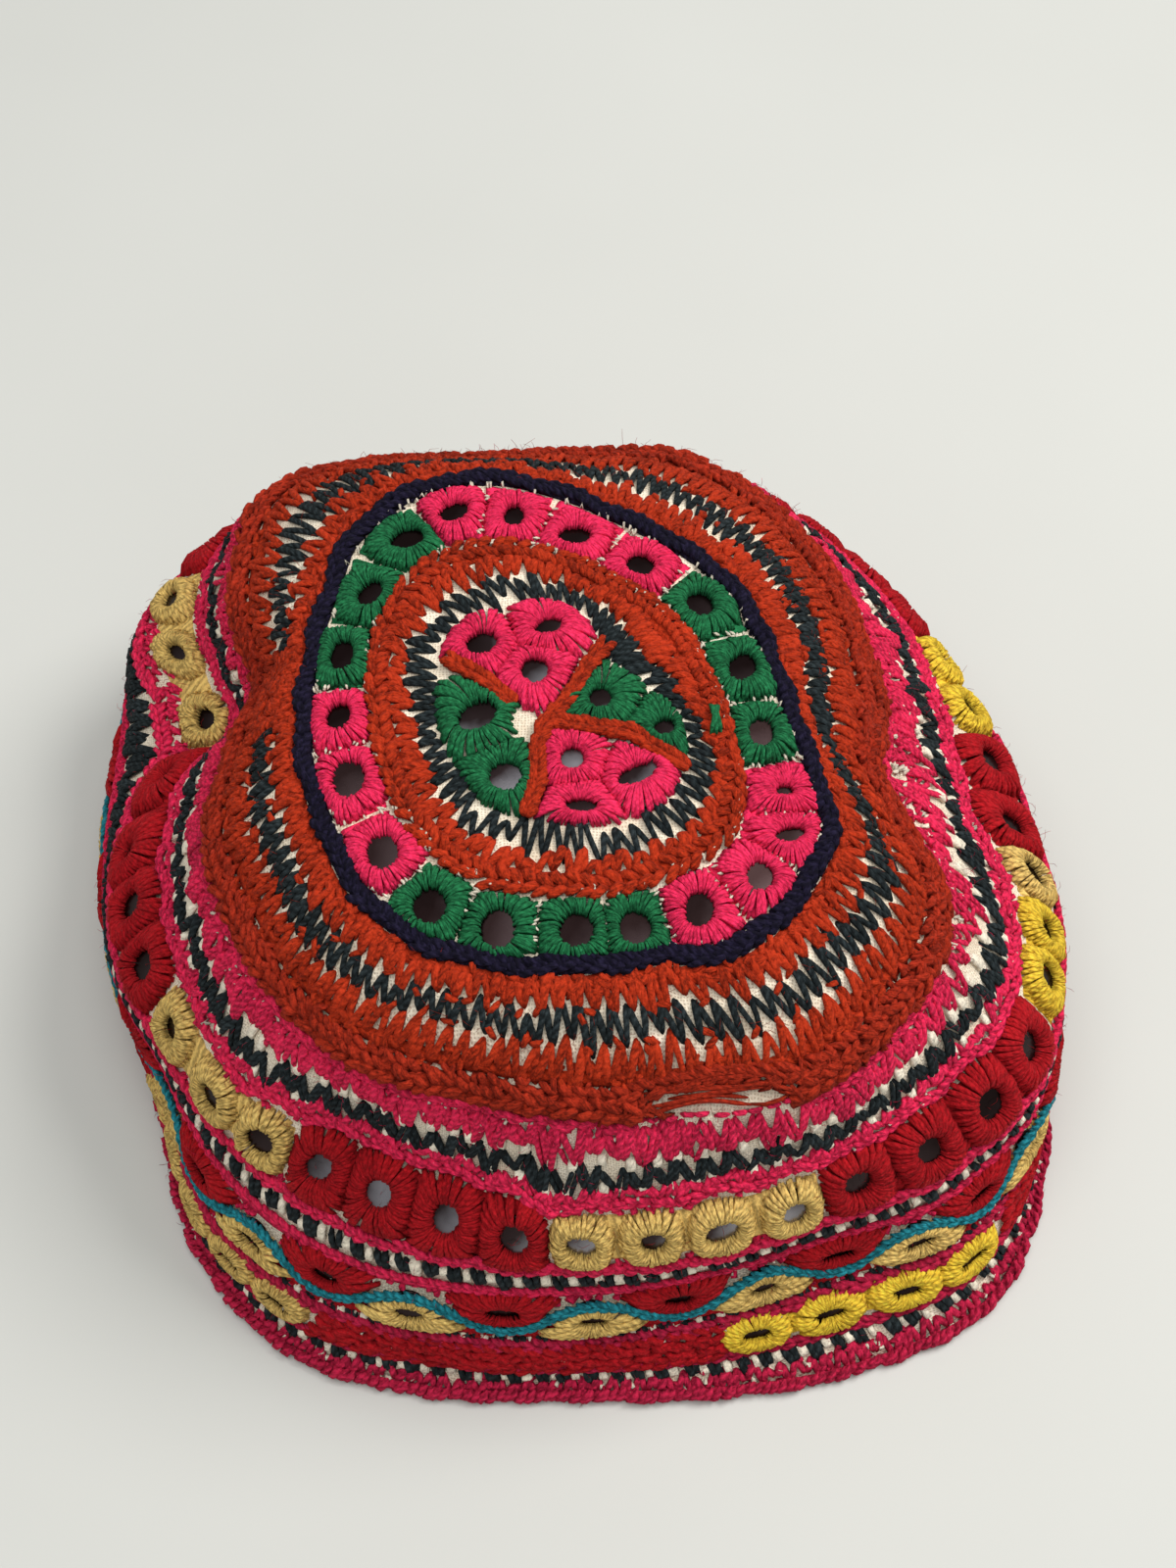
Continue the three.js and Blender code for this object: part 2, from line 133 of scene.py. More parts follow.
def raw_surface(az, level):
    """Points of the CAD surface, millimetres: level 0..1 crown, 1..2 band."""
    az, level = np.broadcast_arrays(np.asarray(az, float), np.asarray(level, float))
    navy, edge, edge_z = ring("navy", az), ring("edge", az), ring("edge_z", az)
    t = np.clip(level, 0, 1)
    tn = navy / edge
    w = np.clip((t - tn) / (1 - tn), 0, 1)
    m0 = -2 * (APEX_Z - NAVY_Z) * (1 - tn) / tn
    m1 = (edge_z - NAVY_Z) * EDGE_DROP
    z_in = APEX_Z - (APEX_Z - NAVY_Z) * (t / tn) ** 2
    z_out = ((2 * w**3 - 3 * w**2 + 1) * NAVY_Z + (w**3 - 2 * w**2 + w) * m0
             + (3 * w**2 - 2 * w**3) * edge_z + (w**3 - w**2) * m1)
    cz = np.where(t <= tn, z_in, z_out)
    cr = t * edge
    # band
    v = np.clip(level - 1, 0, 1)
    R = np.stack([edge] + [ring(n, az) for n in ("shoulder", "bulge", "waist", "rim")], -1)
    Z = np.stack([edge_z] + [np.full_like(az, q) for q in (SHOULDER_Z, BULGE_Z, WAIST_Z, 0.0)], -1)
    K = BAND_LEVELS
    i = np.clip(np.searchsorted(K, v, side="right") - 1, 0, 3)
    h = K[i + 1] - K[i]
    s = (v - K[i]) / h
    im, ip = np.maximum(i - 1, 0), np.minimum(i + 2, 4)

    def along(Y):
        take = lambda j: np.take_along_axis(Y, j[..., None], -1)[..., 0]
        y0, y1, y2, y3 = take(im), take(i), take(i + 1), take(ip)
        a = np.where(i == 0, (y2 - y1) / h, (y2 - y0) / np.maximum(K[i + 1] - K[im], 1e-9))
        b = np.where(i == 3, (y2 - y1) / h, (y3 - y1) / np.maximum(K[ip] - K[i], 1e-9))
        return ((2 * s**3 - 3 * s**2 + 1) * y1 + (s**3 - 2 * s**2 + s) * h * a
                + (3 * s**2 - 2 * s**3) * y2 + (s**3 - s**2) * h * b)

    r = np.where(level <= 1, cr, along(R))
    z = np.where(level <= 1, cz, along(Z))
    out = fold_out(az, level)
    side = smooth01((level - 0.6) / 0.5)
    a = np.radians(az)
    rr = r + out * side
    return np.stack([AXIS_X + rr * np.cos(a), AXIS_Y + rr * np.sin(a), z + out * (1 - side)], -1)


# ------------------------------------------------------------------ relief of the soft cloth, along its normal
WAVES = [(k, m, rng.uniform(0, 2 * math.pi), rng.uniform(0, 2 * math.pi)) for k, m in
         [(5, 3), (7, 5), (9, 2), (11, 7), (14, 4), (17, 9), (23, 6), (29, 11)]]
GATHER_PHASE = rng.uniform(0, 2 * math.pi, 4)


def relief(az, level):
    a = np.radians(az)
    h = 0.0
    for k, m, p, q in WAVES:
        h = h + (1.5 / (3 + k)) * np.sin(k * a + p + 0.8 * np.sin(m * level * 2.2 + q))
    h = h * smooth01((level - 0.12) / 0.5) * 0.8
    # gathers where the band is drawn in under the crown edge
    turn = (40 * a + 2.2 * np.sin(3 * a + GATHER_PHASE[0]) + 1.4 * np.sin(7 * a + GATHER_PHASE[1]))
    size = 0.55 + 0.45 * np.sin(5 * a + GATHER_PHASE[2])
    h = h + 0.75 * size * np.sin(turn) * bump01((level - 1.09) / 0.16)
    # rows of mirrors stand a little proud, stitching lines draw the cloth in
    v = level - 1
    h = h + 0.35 * bump01((v - 0.38) / 0.13) + 0.3 * bump01((v - 0.69) / 0.09) + 0.3 * bump01((v - 0.85) / 0.06)
    # the CAD wall reaches to the outside of the stitches, so the cloth itself lies a little inside it
    h = h - 1.1 * smooth01((level - 0.8) / 0.25) - 0.5 * bump01((level - 0.97) / 0.2)
    # keep the rim on its CAD line
    h = h * (1 - smooth01((level - 1.9) / 0.1))
    return h


NA, NL = 1440, 500
GRID_AZ = np.arange(NA + 1) * 360.0 / NA
GRID_L = np.linspace(0, 2, NL + 1)


def build_grids():
    A, L = np.meshgrid(GRID_AZ, GRID_L, indexing="ij")
    P = raw_surface(A, L)

    def normals(P):
        da = np.empty_like(P)
        da[1:-1] = P[2:] - P[:-2]
        da[0] = da[-1] = P[1] - P[-2]
        dl = np.gradient(P, axis=1)
        n = np.cross(dl, da)
        n /= np.maximum(np.linalg.norm(n, axis=-1, keepdims=True), 1e-9)
        n[:, :3] = (0, 0, 1)
        return n

    N = normals(P)
    P = P + N * relief(A, L)[..., None]
    return P, normals(P)


GP, GN = build_grids()


def look(grid, az, level):
    u = (np.asarray(az, float) % 360.0) / 360.0 * NA
    w = np.clip(np.asarray(level, float), 0, 2) / 2 * NL
    u, w = np.broadcast_arrays(u, w)
    i, j = np.minimum(u.astype(int), NA - 1), np.minimum(w.astype(int), NL - 1)
    a, b = (u - i)[..., None], (w - j)[..., None]
    return (grid[i, j] * (1 - a) * (1 - b) + grid[i + 1, j] * a * (1 - b)
            + grid[i, j + 1] * (1 - a) * b + grid[i + 1, j + 1] * a * b)


def surf(az, level, up=0.0):
    # the rows ride up a little over the dent on the left
    level = np.asarray(level, float)
    turn = np.asarray(az, float) % 360.0
    level = level - 0.070 * bump01((turn - 166.0) / 25.0) * bump01((level - 1.36) / 0.26) - 0.055 * bump01((turn - 178.0) / 25.0) * bump01((level - 1.56) / 0.20)
    P, N = look(GP, az, level), look(GN, az, level)
    N = N / np.linalg.norm(N, axis=-1, keepdims=True)
    return P + N * np.asarray(up)[..., None], N


def drawn_in(az):
    """How far the stitched edge is drawn in from the seam on the right, as a part of its radius."""
    turn = (np.asarray(az, float) % 360.0 + 180.0) % 360.0 - 180.0
    return 5.0 * bump01((turn + 8.0) / 19.0) / ring("edge", az)


def crown_zone(f, az):
    """Level of the part f of the way from the navy cord to the stitched edge."""
    turn = (np.asarray(az, float) % 360.0 + 180.0) % 360.0 - 180.0
    f = f - 0.13 * math.sin(math.pi * min(f, 1.0)) * bump01((turn + 2.0) / 32.0)
    return (ring("navy", az) + f * (ring("edge", az) * (1 - drawn_in(az)) - ring("navy", az))) / ring("edge", az)


def crown_place(x, y):
    """Azimuth and level of a point of the crown given in the photograph's frame."""
    dx, dy = np.asarray(x, float) - PHOTO_X, np.asarray(y, float) - PHOTO_Y
    az = np.degrees(np.arctan2(dy, dx)) % 360.0
    return az, np.hypot(dx, dy) / ring("edge", az)


def row_length(level):
    P = look(GP, GRID_AZ, level)
    return np.linalg.norm(np.diff(P, axis=0), axis=-1).sum()


# ------------------------------------------------------------------ materials
def shader(name):
    m = bpy.data.materials.new(name)
    m.use_nodes = True
    nt = m.node_tree
    nt.nodes.clear()
    out = nt.nodes.new("ShaderNodeOutputMaterial")
    b = nt.nodes.new("ShaderNodeBsdfPrincipled")
    nt.links.new(b.outputs[0], out.inputs[0])
    return m, nt, b


def math_node(nt, op, a, b=None, c=None):
    n = nt.nodes.new("ShaderNodeMath")
    n.operation = op
    for k, v in enumerate((a, b, c)):
        if v is None:
            continue
        if isinstance(v, (int, float)):
            n.inputs[k].default_value = v
        else:
            nt.links.new(v, n.inputs[k])
    return n.outputs[0]


def yarn_material(name, color, dark=0.45, light=1.25, sheen=0.35, rough=0.85, ply=0.55, fleck=None):
    """Spun yarn: plies twisted along each stitch, with painted shade and highlight along the twist, uneven dye, soft
    sheen.
    """
    m, nt, b = shader(name)
    uv = nt.nodes.new("ShaderNodeUVMap")
    uv.uv_map = "yarn"
    sep = nt.nodes.new("ShaderNodeSeparateXYZ")
    nt.links.new(uv.outputs[0], sep.inputs[0])
    u, v = sep.outputs[0], sep.outputs[1]
    turn = math_node(nt, "ADD", math_node(nt, "MULTIPLY", u, 4.4), math_node(nt, "MULTIPLY", v, 12.566))
    ply_wave = math_node(nt, "SINE", turn)
    ply_relief_and_shade = math_node(nt, "MULTIPLY_ADD", ply_wave, 0.5, 0.5)
    coord = nt.nodes.new("ShaderNodeCombineXYZ")
    nt.links.new(math_node(nt, "MULTIPLY", u, 0.16), coord.inputs[0])
    nt.links.new(math_node(nt, "ADD", math_node(nt, "MULTIPLY", v, 3.4), math_node(nt, "MULTIPLY", u, 0.34)), coord.inputs[1])
    fibre = nt.nodes.new("ShaderNodeTexNoise")
    fibre.inputs["Scale"].default_value = 3.2
    fibre.inputs["Detail"].default_value = 3.0
    fibre.inputs["Roughness"].default_value = 0.7
    nt.links.new(coord.outputs[0], fibre.inputs["Vector"])
    tint = nt.nodes.new("ShaderNodeAttribute")
    tint.attribute_name = "tint"
    geo = nt.nodes.new("ShaderNodeTexCoord")
    blotch = nt.nodes.new("ShaderNodeTexNoise")
    blotch.inputs["Scale"].default_value = 90.0
    blotch.inputs["Detail"].default_value = 3.0
    nt.links.new(geo.outputs["Object"], blotch.inputs["Vector"])
    s = math_node(nt, "MULTIPLY_ADD", fibre.outputs["Fac"], 1.7, -0.85)
    # the ply twist also darkens and lightens the colour: painted shade in the grooves between plies, painted highlight
    # on their crests
    s = math_node(nt, "ADD", s, math_node(nt, "MULTIPLY_ADD", ply_relief_and_shade, 0.95 * ply, -0.55 * ply))
    s = math_node(nt, "ADD", s, math_node(nt, "MULTIPLY_ADD", tint.outputs["Fac"], 0.62, 0.19))
    s = math_node(nt, "ADD", s, math_node(nt, "MULTIPLY_ADD", blotch.outputs["Fac"], 0.5, -0.25))
    pile = nt.nodes.new("ShaderNodeTexNoise")
    pile.inputs["Scale"].default_value = 2100.0
    pile.inputs["Detail"].default_value = 1.0
    nt.links.new(geo.outputs["Object"], pile.inputs["Vector"])
    s = math_node(nt, "ADD", s, math_node(nt, "MULTIPLY_ADD", pile.outputs["Fac"], 0.9, -0.45))
    ramp = nt.nodes.new("ShaderNodeValToRGB")
    c = np.array(color)
    e = ramp.color_ramp.elements
    e[0].position, e[0].color = 0.05, (*(c * dark), 1)
    e[1].position, e[1].color = 0.95, (*np.minimum(c * light + 0.003, 1.0), 1)
    mid = ramp.color_ramp.elements.new(0.5)
    mid.color = (*c, 1)
    nt.links.new(s, ramp.inputs[0])
    nt.links.new(ramp.outputs[0], b.inputs["Base Color"])
    b.inputs["Roughness"].default_value = rough
    b.inputs["Specular IOR Level"].default_value = 0.12
    b.inputs["Sheen Weight"].default_value = sheen * 0.6
    b.inputs["Sheen Roughness"].default_value = 0.5
    b.inputs["Sheen Tint"].default_value = (*np.minimum(c * 1.5 + 0.03, 1.0), 1)
    fluff = nt.nodes.new("ShaderNodeTexNoise")
    fluff.inputs["Scale"].default_value = 1500.0
    fluff.inputs["Detail"].default_value = 1.0
    fluff.inputs["Roughness"].default_value = 0.6
    nt.links.new(geo.outputs["Object"], fluff.inputs["Vector"])
    bump = nt.nodes.new("ShaderNodeBump")
    bump.inputs["Strength"].default_value = 1.0
    bump.inputs["Distance"].default_value = 0.00045
    hgt = math_node(nt, "ADD", math_node(nt, "MULTIPLY", ply_relief_and_shade, 1.1 * ply), fibre.outputs["Fac"])
    hgt = math_node(nt, "ADD", hgt, math_node(nt, "MULTIPLY", fluff.outputs["Fac"], 0.9))
    nt.links.new(hgt, bump.inputs["Height"])
    nt.links.new(bump.outputs[0], b.inputs["Normal"])
    return m


def cloth_material(name, color, grime=0.5):
    """Plain woven cotton: threads over and under, painted shade in the pinholes between them, a little soiling."""
    m, nt, b = shader(name)
    uv = nt.nodes.new("ShaderNodeUVMap")
    uv.uv_map = "weave"
    warp_noise = nt.nodes.new("ShaderNodeTexNoise")
    warp_noise.inputs["Scale"].default_value = 0.55
    warp_noise.inputs["Detail"].default_value = 2.0
    nt.links.new(uv.outputs[0], warp_noise.inputs["Vector"])
    sep = nt.nodes.new("ShaderNodeSeparateXYZ")
    nt.links.new(uv.outputs[0], sep.inputs[0])
    sw = nt.nodes.new("ShaderNodeSeparateColor")
    nt.links.new(warp_noise.outputs["Color"], sw.inputs[0])
    x = math_node(nt, "ADD", sep.outputs[0], math_node(nt, "MULTIPLY", sw.outputs[0], 1.1))
    y = math_node(nt, "ADD", sep.outputs[1], math_node(nt, "MULTIPLY", sw.outputs[1], 1.1))
    pitch = 0.52
    k = math.pi / pitch
    wx = math_node(nt, "ABSOLUTE", math_node(nt, "SINE", math_node(nt, "MULTIPLY", x, k)))
    wy = math_node(nt, "ABSOLUTE", math_node(nt, "SINE", math_node(nt, "MULTIPLY", y, k)))
    sx = math_node(nt, "SINE", math_node(nt, "MULTIPLY", x, k))
    sy = math_node(nt, "SINE", math_node(nt, "MULTIPLY", y, k))
    over = math_node(nt, "MULTIPLY_ADD", math_node(nt, "MULTIPLY", sx, sy), 0.35, 0.5)
    threads = math_node(nt, "MAXIMUM", wx, wy)
    height = math_node(nt, "ADD", math_node(nt, "MULTIPLY", threads, 0.6), over)
    # painted shade: the gaps between the threads are darkened towards brown as pinholes
    hole = math_node(nt, "SUBTRACT", 1.0, threads)
    hole = math_node(nt, "POWER", hole, 0.8)
    fine = nt.nodes.new("ShaderNodeTexNoise")
    fine.inputs["Scale"].default_value = 1.4
    fine.inputs["Detail"].default_value = 5.0
    nt.links.new(uv.outputs[0], fine.inputs["Vector"])
    soil = nt.nodes.new("ShaderNodeTexNoise")
    soil.inputs["Scale"].default_value = 0.09
    soil.inputs["Detail"].default_value = 4.0
    nt.links.new(uv.outputs[0], soil.inputs["Vector"])
    c = np.array(color)
    ramp = nt.nodes.new("ShaderNodeValToRGB")
    e = ramp.color_ramp.elements
    e[0].position, e[0].color = 0.30, (*(c * np.array([0.78, 0.70, 0.62])), 1)
    e[1].position, e[1].color = 0.62, (*c, 1)
    mixv = math_node(nt, "ADD", math_node(nt, "MULTIPLY", soil.outputs["Fac"], 0.65),
                     math_node(nt, "MULTIPLY", fine.outputs["Fac"], 0.35))
    nt.links.new(mixv, ramp.inputs[0])
    # multiply the painted pinhole shade into the cloth colour
    dark = nt.nodes.new("ShaderNodeMix")
    dark.data_type = "RGBA"
    dark.blend_type = "MULTIPLY"
    nt.links.new(math_node(nt, "MULTIPLY", hole, 0.75), dark.inputs["Factor"])
    nt.links.new(ramp.outputs[0], dark.inputs["A"])
    dark.inputs["B"].default_value = (0.42, 0.33, 0.27, 1)
    nt.links.new(dark.outputs["Result"], b.inputs["Base Color"])
    b.inputs["Roughness"].default_value = 0.95
    b.inputs["Specular IOR Level"].default_value = 0.15
    b.inputs["Sheen Weight"].default_value = 0.15
    bump = nt.nodes.new("ShaderNodeBump")
    bump.inputs["Strength"].default_value = 0.8
    bump.inputs["Distance"].default_value = 0.0002
    nt.links.new(height, bump.inputs["Height"])
    nt.links.new(bump.outputs[0], b.inputs["Normal"])
    return m


def mirror_material():
    """Old thin mirror glass: dark, brownish, a little hazy, silvering worn in spots, with painted reflection in its
    lighter bluish-grey tones.
    """
    m, nt, b = shader("mirror_glass")
    co = nt.nodes.new("ShaderNodeTexCoord")
    n = nt.nodes.new("ShaderNodeTexNoise")
    n.inputs["Scale"].default_value = 160.0
    n.inputs["Detail"].default_value = 4.0
    nt.links.new(co.outputs["Object"], n.inputs["Vector"])
    tint = nt.nodes.new("ShaderNodeAttribute")
    tint.attribute_name = "tint"
    s = math_node(nt, "ADD", math_node(nt, "MULTIPLY", n.outputs["Fac"], 0.55), math_node(nt, "MULTIPLY_ADD", tint.outputs["Fac"], 0.9, -0.2))
    # the tint attribute carries each disc's painted reflection gradient; the light bluish-grey end of the ramp is
    # painted reflection
    ramp = nt.nodes.new("ShaderNodeValToRGB")
    e = ramp.color_ramp.elements
    e[0].position, e[0].color = 0.15, (0.014, 0.006, 0.006, 1)
    e[1].position, e[1].color = 0.95, (0.30, 0.285, 0.31, 1)
    mid = e.new(0.55)
    mid.color = (0.038, 0.024, 0.025, 1)
    nt.links.new(s, ramp.inputs[0])
    nt.links.new(ramp.outputs[0], b.inputs["Base Color"])
    b.inputs["Metallic"].default_value = 0.9
    r = math_node(nt, "MULTIPLY_ADD", n.outputs["Fac"], 0.28, 0.10)
    nt.links.new(r, b.inputs["Roughness"])
    return m


COLORS = {
    "orange": (0.400, 0.028, 0.006),
    "braid": (0.330, 0.022, 0.007),
    "pink": (0.800, 0.022, 0.090),
    "hotpink": (0.980, 0.028, 0.115),
    "red": (0.400, 0.006, 0.011),
    "green": (0.014, 0.158, 0.056),
    "black": (0.015, 0.021, 0.023),
    "navy": (0.007, 0.005, 0.017),
    "tan": (0.860, 0.560, 0.170),
    "yellow": (0.980, 0.620, 0.050),
    "teal": (0.016, 0.220, 0.270),
    "rimpink": (0.520, 0.015, 0.060),
    "cream": (0.900, 0.800, 0.640),
}
MATS = {
    "orange": yarn_material("orange_wool", COLORS["orange"], dark=0.36, light=1.4, sheen=0.5, rough=0.92, ply=0.24),
    "braid": yarn_material("braid_wool", COLORS["braid"], dark=0.36, light=1.5, sheen=0.5, rough=0.94, ply=0.22),
    "pink": yarn_material("pink_yarn", COLORS["pink"], dark=0.5, sheen=0.3),
    "hotpink": yarn_material("hot_pink_yarn", COLORS["hotpink"], dark=0.55, sheen=0.25, ply=0.38),
    "red": yarn_material("red_wool", COLORS["red"], dark=0.5, light=1.35, sheen=0.5, rough=0.92, ply=0.28),
    "green": yarn_material("green_yarn", COLORS["green"], dark=0.5, light=1.5, sheen=0.25, ply=0.38),
    "black": yarn_material("black_yarn", COLORS["black"], dark=0.5, light=1.9, sheen=0.12),
    "navy": yarn_material("navy_wool", COLORS["navy"], dark=0.5, light=1.9, sheen=0.25, rough=0.92),
    "tan": yarn_material("tan_yarn", COLORS["tan"], dark=0.5, sheen=0.2),
    "yellow": yarn_material("yellow_yarn", COLORS["yellow"], dark=0.6, sheen=0.2),
    "teal": yarn_material("teal_yarn", COLORS["teal"], dark=0.5, light=1.5, sheen=0.2),
    "rimpink": yarn_material("rim_pink_yarn", COLORS["rimpink"], dark=0.5, sheen=0.35, rough=0.92),
    "cream": yarn_material("cream_yarn", COLORS["cream"], dark=0.72, light=1.1, sheen=0.2, rough=0.95, ply=0.3),
}
CLOTH = cloth_material("cream_cotton", (0.96, 0.87, 0.71))
MIRROR = mirror_material()


# ------------------------------------------------------------------ mesh making
def make_object(name, verts, faces_flat, loop_counts, uv=None, uv_name="yarn", tint=None, smooth=True, material=None):
    me = bpy.data.meshes.new(name)
    nv, nl, nf = len(verts), len(faces_flat), len(loop_counts)
    me.vertices.add(nv)
    me.vertices.foreach_set("co", (np.asarray(verts) * MM).astype(np.float32).ravel())
    me.loops.add(nl)
    me.loops.foreach_set("vertex_index", np.asarray(faces_flat, np.int32))
    me.polygons.add(nf)
    starts = np.concatenate([[0], np.cumsum(loop_counts)[:-1]]).astype(np.int32)
    me.polygons.foreach_set("loop_start", starts)
    me.polygons.foreach_set("use_smooth", np.full(nf, smooth))
    if uv is not None:
        layer = me.uv_layers.new(name=uv_name)
        layer.data.foreach_set("uv", np.asarray(uv, np.float32).ravel())
    if tint is not None:
        at = me.attributes.new("tint", "FLOAT", "POINT")
        at.data.foreach_set("value", np.asarray(tint, np.float32))
    me.update(calc_edges=True)
    me.validate()
    ob = bpy.data.objects.new(name, me)
    bpy.context.scene.collection.objects.link(ob)
    if material:
        me.materials.append(material)
    return ob


# Corners of a stitch's section in degrees, most of them on the side that shows, and its widening to match a round thread.
SECTION = {3: (-30, 90, 210), 4: (-28, 48, 132, 208), 5: (-38, 28, 90, 152, 218), 6: (-50, 0, 55, 125, 180, 230)}
WIDEN = {3: (1.0, 1.0), 4: (1.10, 1.22), 5: (1.08, 1.02), 6: (1.0, 1.0)}


class Yarns:
    """Stitches of one piece, kept as tubes along short paths, and joined into one mesh."""

    def __init__(self, name, colour, sides=5):
        self.name, self.colour, self.sides = name, colour, sides
        self.parts = []

    def add(self, P, N, w, h, tint=None, taper=0.45, lump=0.09, sides=None):
        """P, N: (n, k, 3) centres and normals; w, h: half width and half height, broadcast to (n, k)."""
        P = np.asarray(P, float)
        n, k = P.shape[:2]
        w = np.broadcast_to(np.asarray(w, float), (n, k)).copy()
        h = np.broadcast_to(np.asarray(h, float), (n, k)).copy()
        T = np.gradient(P, axis=1)
        T /= np.maximum(np.linalg.norm(T, axis=-1, keepdims=True), 1e-9)
        side = np.cross(T, N)
        side /= np.maximum(np.linalg.norm(side, axis=-1, keepdims=True), 1e-9)
        up = np.cross(side, T)
        for a in (w, h):
            a[:, 0] *= taper
            a[:, -1] *= taper
        S = sides or self.sides
        th = np.radians(SECTION[S])
        w, h = w * WIDEN[S][0], h * WIDEN[S][1]
        q = rng.normal(1, lump, (n, k, S))
        V = (P[:, :, None] + side[:, :, None] * (w[:, :, None] * np.cos(th) * q)[..., None]
             + up[:, :, None] * (h[:, :, None] * np.sin(th) * q)[..., None])
        V[..., 2] = np.maximum(V[..., 2], 0.03)
        length = np.concatenate([np.zeros((n, 1)), np.cumsum(np.linalg.norm(np.diff(P, axis=1), axis=-1), 1)], 1)
        length = length + rng.uniform(0, 50, (n, 1))
        if tint is None:
            tint = rng.uniform(0.25, 0.75, n)
        self.parts.append((V, length, np.broadcast_to(tint, (n,))))

    def triangles(self):
        return sum(n * ((k - 1) * S * 2 + 2 * (S - 2)) for n, k, S in (p[0].shape[:3] for p in self.parts))

    def build(self):
        verts, loops, counts, uvs, tints = [], [], [], [], []
        base = 0
        for V, length, tint in self.parts:
            n, k, S = V.shape[:3]
            corner = (np.array(SECTION[S] + (SECTION[S][0] + 360,), float) - SECTION[S][0]) / 360.0
            verts.append(V.reshape(-1, 3))
            tints.append(np.repeat(tint, k * S))
            idx = base + np.arange(n * k * S).reshape(n, k, S)
            nx = np.roll(idx, -1, axis=2)
            q = np.stack([idx[:, :-1], nx[:, :-1], nx[:, 1:], idx[:, 1:]], -1).reshape(-1)
            loops.append(q)
            counts.append(np.full(n * (k - 1) * S, 4))
            v0 = np.broadcast_to(corner[:-1], (n, k - 1, S))
            v1 = np.broadcast_to(corner[1:], (n, k - 1, S))
            u0 = np.broadcast_to(length[:, :-1, None], (n, k - 1, S))
            u1 = np.broadcast_to(length[:, 1:, None], (n, k - 1, S))
            uvs.append(np.stack([u0, v0, u0, v1, u1, v1, u1, v0], -1).reshape(-1, 2))
            loops.append(idx[:, 0, ::-1].reshape(-1))
            loops.append(idx[:, -1].reshape(-1))
            counts.append(np.full(2 * n, S))
            uvs.append(np.zeros((2 * n * S, 2)))
            base += n * k * S
        ob = make_object(self.name, np.concatenate(verts), np.concatenate(loops), np.concatenate(counts),
                         np.concatenate(uvs), "yarn", np.concatenate(tints), True, MATS[self.colour])
        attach(ob, "root")
        return ob


PIECES = {}


def yarn(name, colour, sides=5):
    if name not in PIECES:
        PIECES[name] = Yarns(name, colour, sides)
    return PIECES[name]


def lay(piece, az, level, up, w, h, tint=None, taper=0.45, sides=None):
    """Stitches given on the cloth: az, level and height above it, each (n, k)."""
    P, N = surf(az, level, up)
    piece.add(P, N, w, h, tint, taper, sides=sides)


def arch(k, rise, foot=-0.35):
    t = np.linspace(0, 1, k)
    return foot + (rise - foot) * np.sin(np.pi * t) ** 0.45


# ------------------------------------------------------------------ stitch rows
def zigzag(piece, low, high, pitch, width, height, rise=0.55, az0=0.0, az1=360.0, jitter=0.12, skew=0.0, k=5,
           keep=None, tint=None, double=0.0):
    """A row of slanting stitches between two lines, low(az) and high(az) in levels. A doubled thread lies side by side, this far apart."""
    mid = (low(180.0) + high(180.0)) / 2
    total = row_length(float(mid)) * (az1 - az0) / 360.0
    n = max(3, int(round(total / pitch)))
    step = (az1 - az0) / n
    i = np.arange(n)
    centre = az0 + (i + 0.5) * step + rng.normal(0, jitter * step * 0.5, n)
    feet = az0 + i * step + rng.normal(0, jitter * step * 0.6, n)
    t = np.linspace(0, 1, k)
    lo, hi = low(centre), high(centre)
    amp = hi - lo
    hi_j = hi + rng.normal(0, jitter, n) * amp
    lo_j = lo + rng.normal(0, jitter, n) * amp
    lo_k = np.roll(lo_j, -1)
    sk = skew * step
    rows = []
    # up leg from feet[i] at the low line to centre[i] at the high line, down leg to feet[i+1]
    nxt = np.append(feet[1:], feet[0] + (az1 - az0))
    for a0, l0, a1, l1 in ((feet, lo_j, centre + sk, hi_j), (nxt, lo_k, centre + sk, hi_j)):
        a = a0[:, None] * (1 - t) + a1[:, None] * t
        l = l0[:, None] * (1 - t) + l1[:, None] * t
        rows.append((a, l))
    for r, (a, l) in enumerate(rows):
        up = arch(k, rise)[None] + rng.normal(0, 0.07, (n, 1)) + (0.16 if r else 0.0) * np.sin(np.pi * t)
        wv = width / 2 * rng.normal(1, 0.10, (n, 1))
        hv = height / 2 * rng.normal(1, 0.08, (n, 1))
        tt = rng.uniform(0.2, 0.8, n) if tint is None else np.clip(rng.normal(tint, 0.12, n), 0, 1)
        if keep is not None:
            m = keep(centre % 360.0)
            a, l, up, wv, hv, tt = a[m], l[m], up[m], wv[m], hv[m], tt[m]
        if len(a) and not double:
            lay(piece, a, l, up, wv, hv, tt)
        elif len(a):
            for sgn in (-1, 1):
                shift = sgn * double / 2 * step / pitch * (1 + rng.normal(0, 0.2, (len(a), 1)))
                slip = rng.normal(0, 0.05, (len(a), 1)) * (l[:, -1:] - l[:, :1])
                lay(piece, a + shift, l + slip, up + rng.normal(0, 0.08, (len(a), 1)), wv, hv, np.clip(tt + rng.normal(0, 0.15, len(a)), 0, 1))


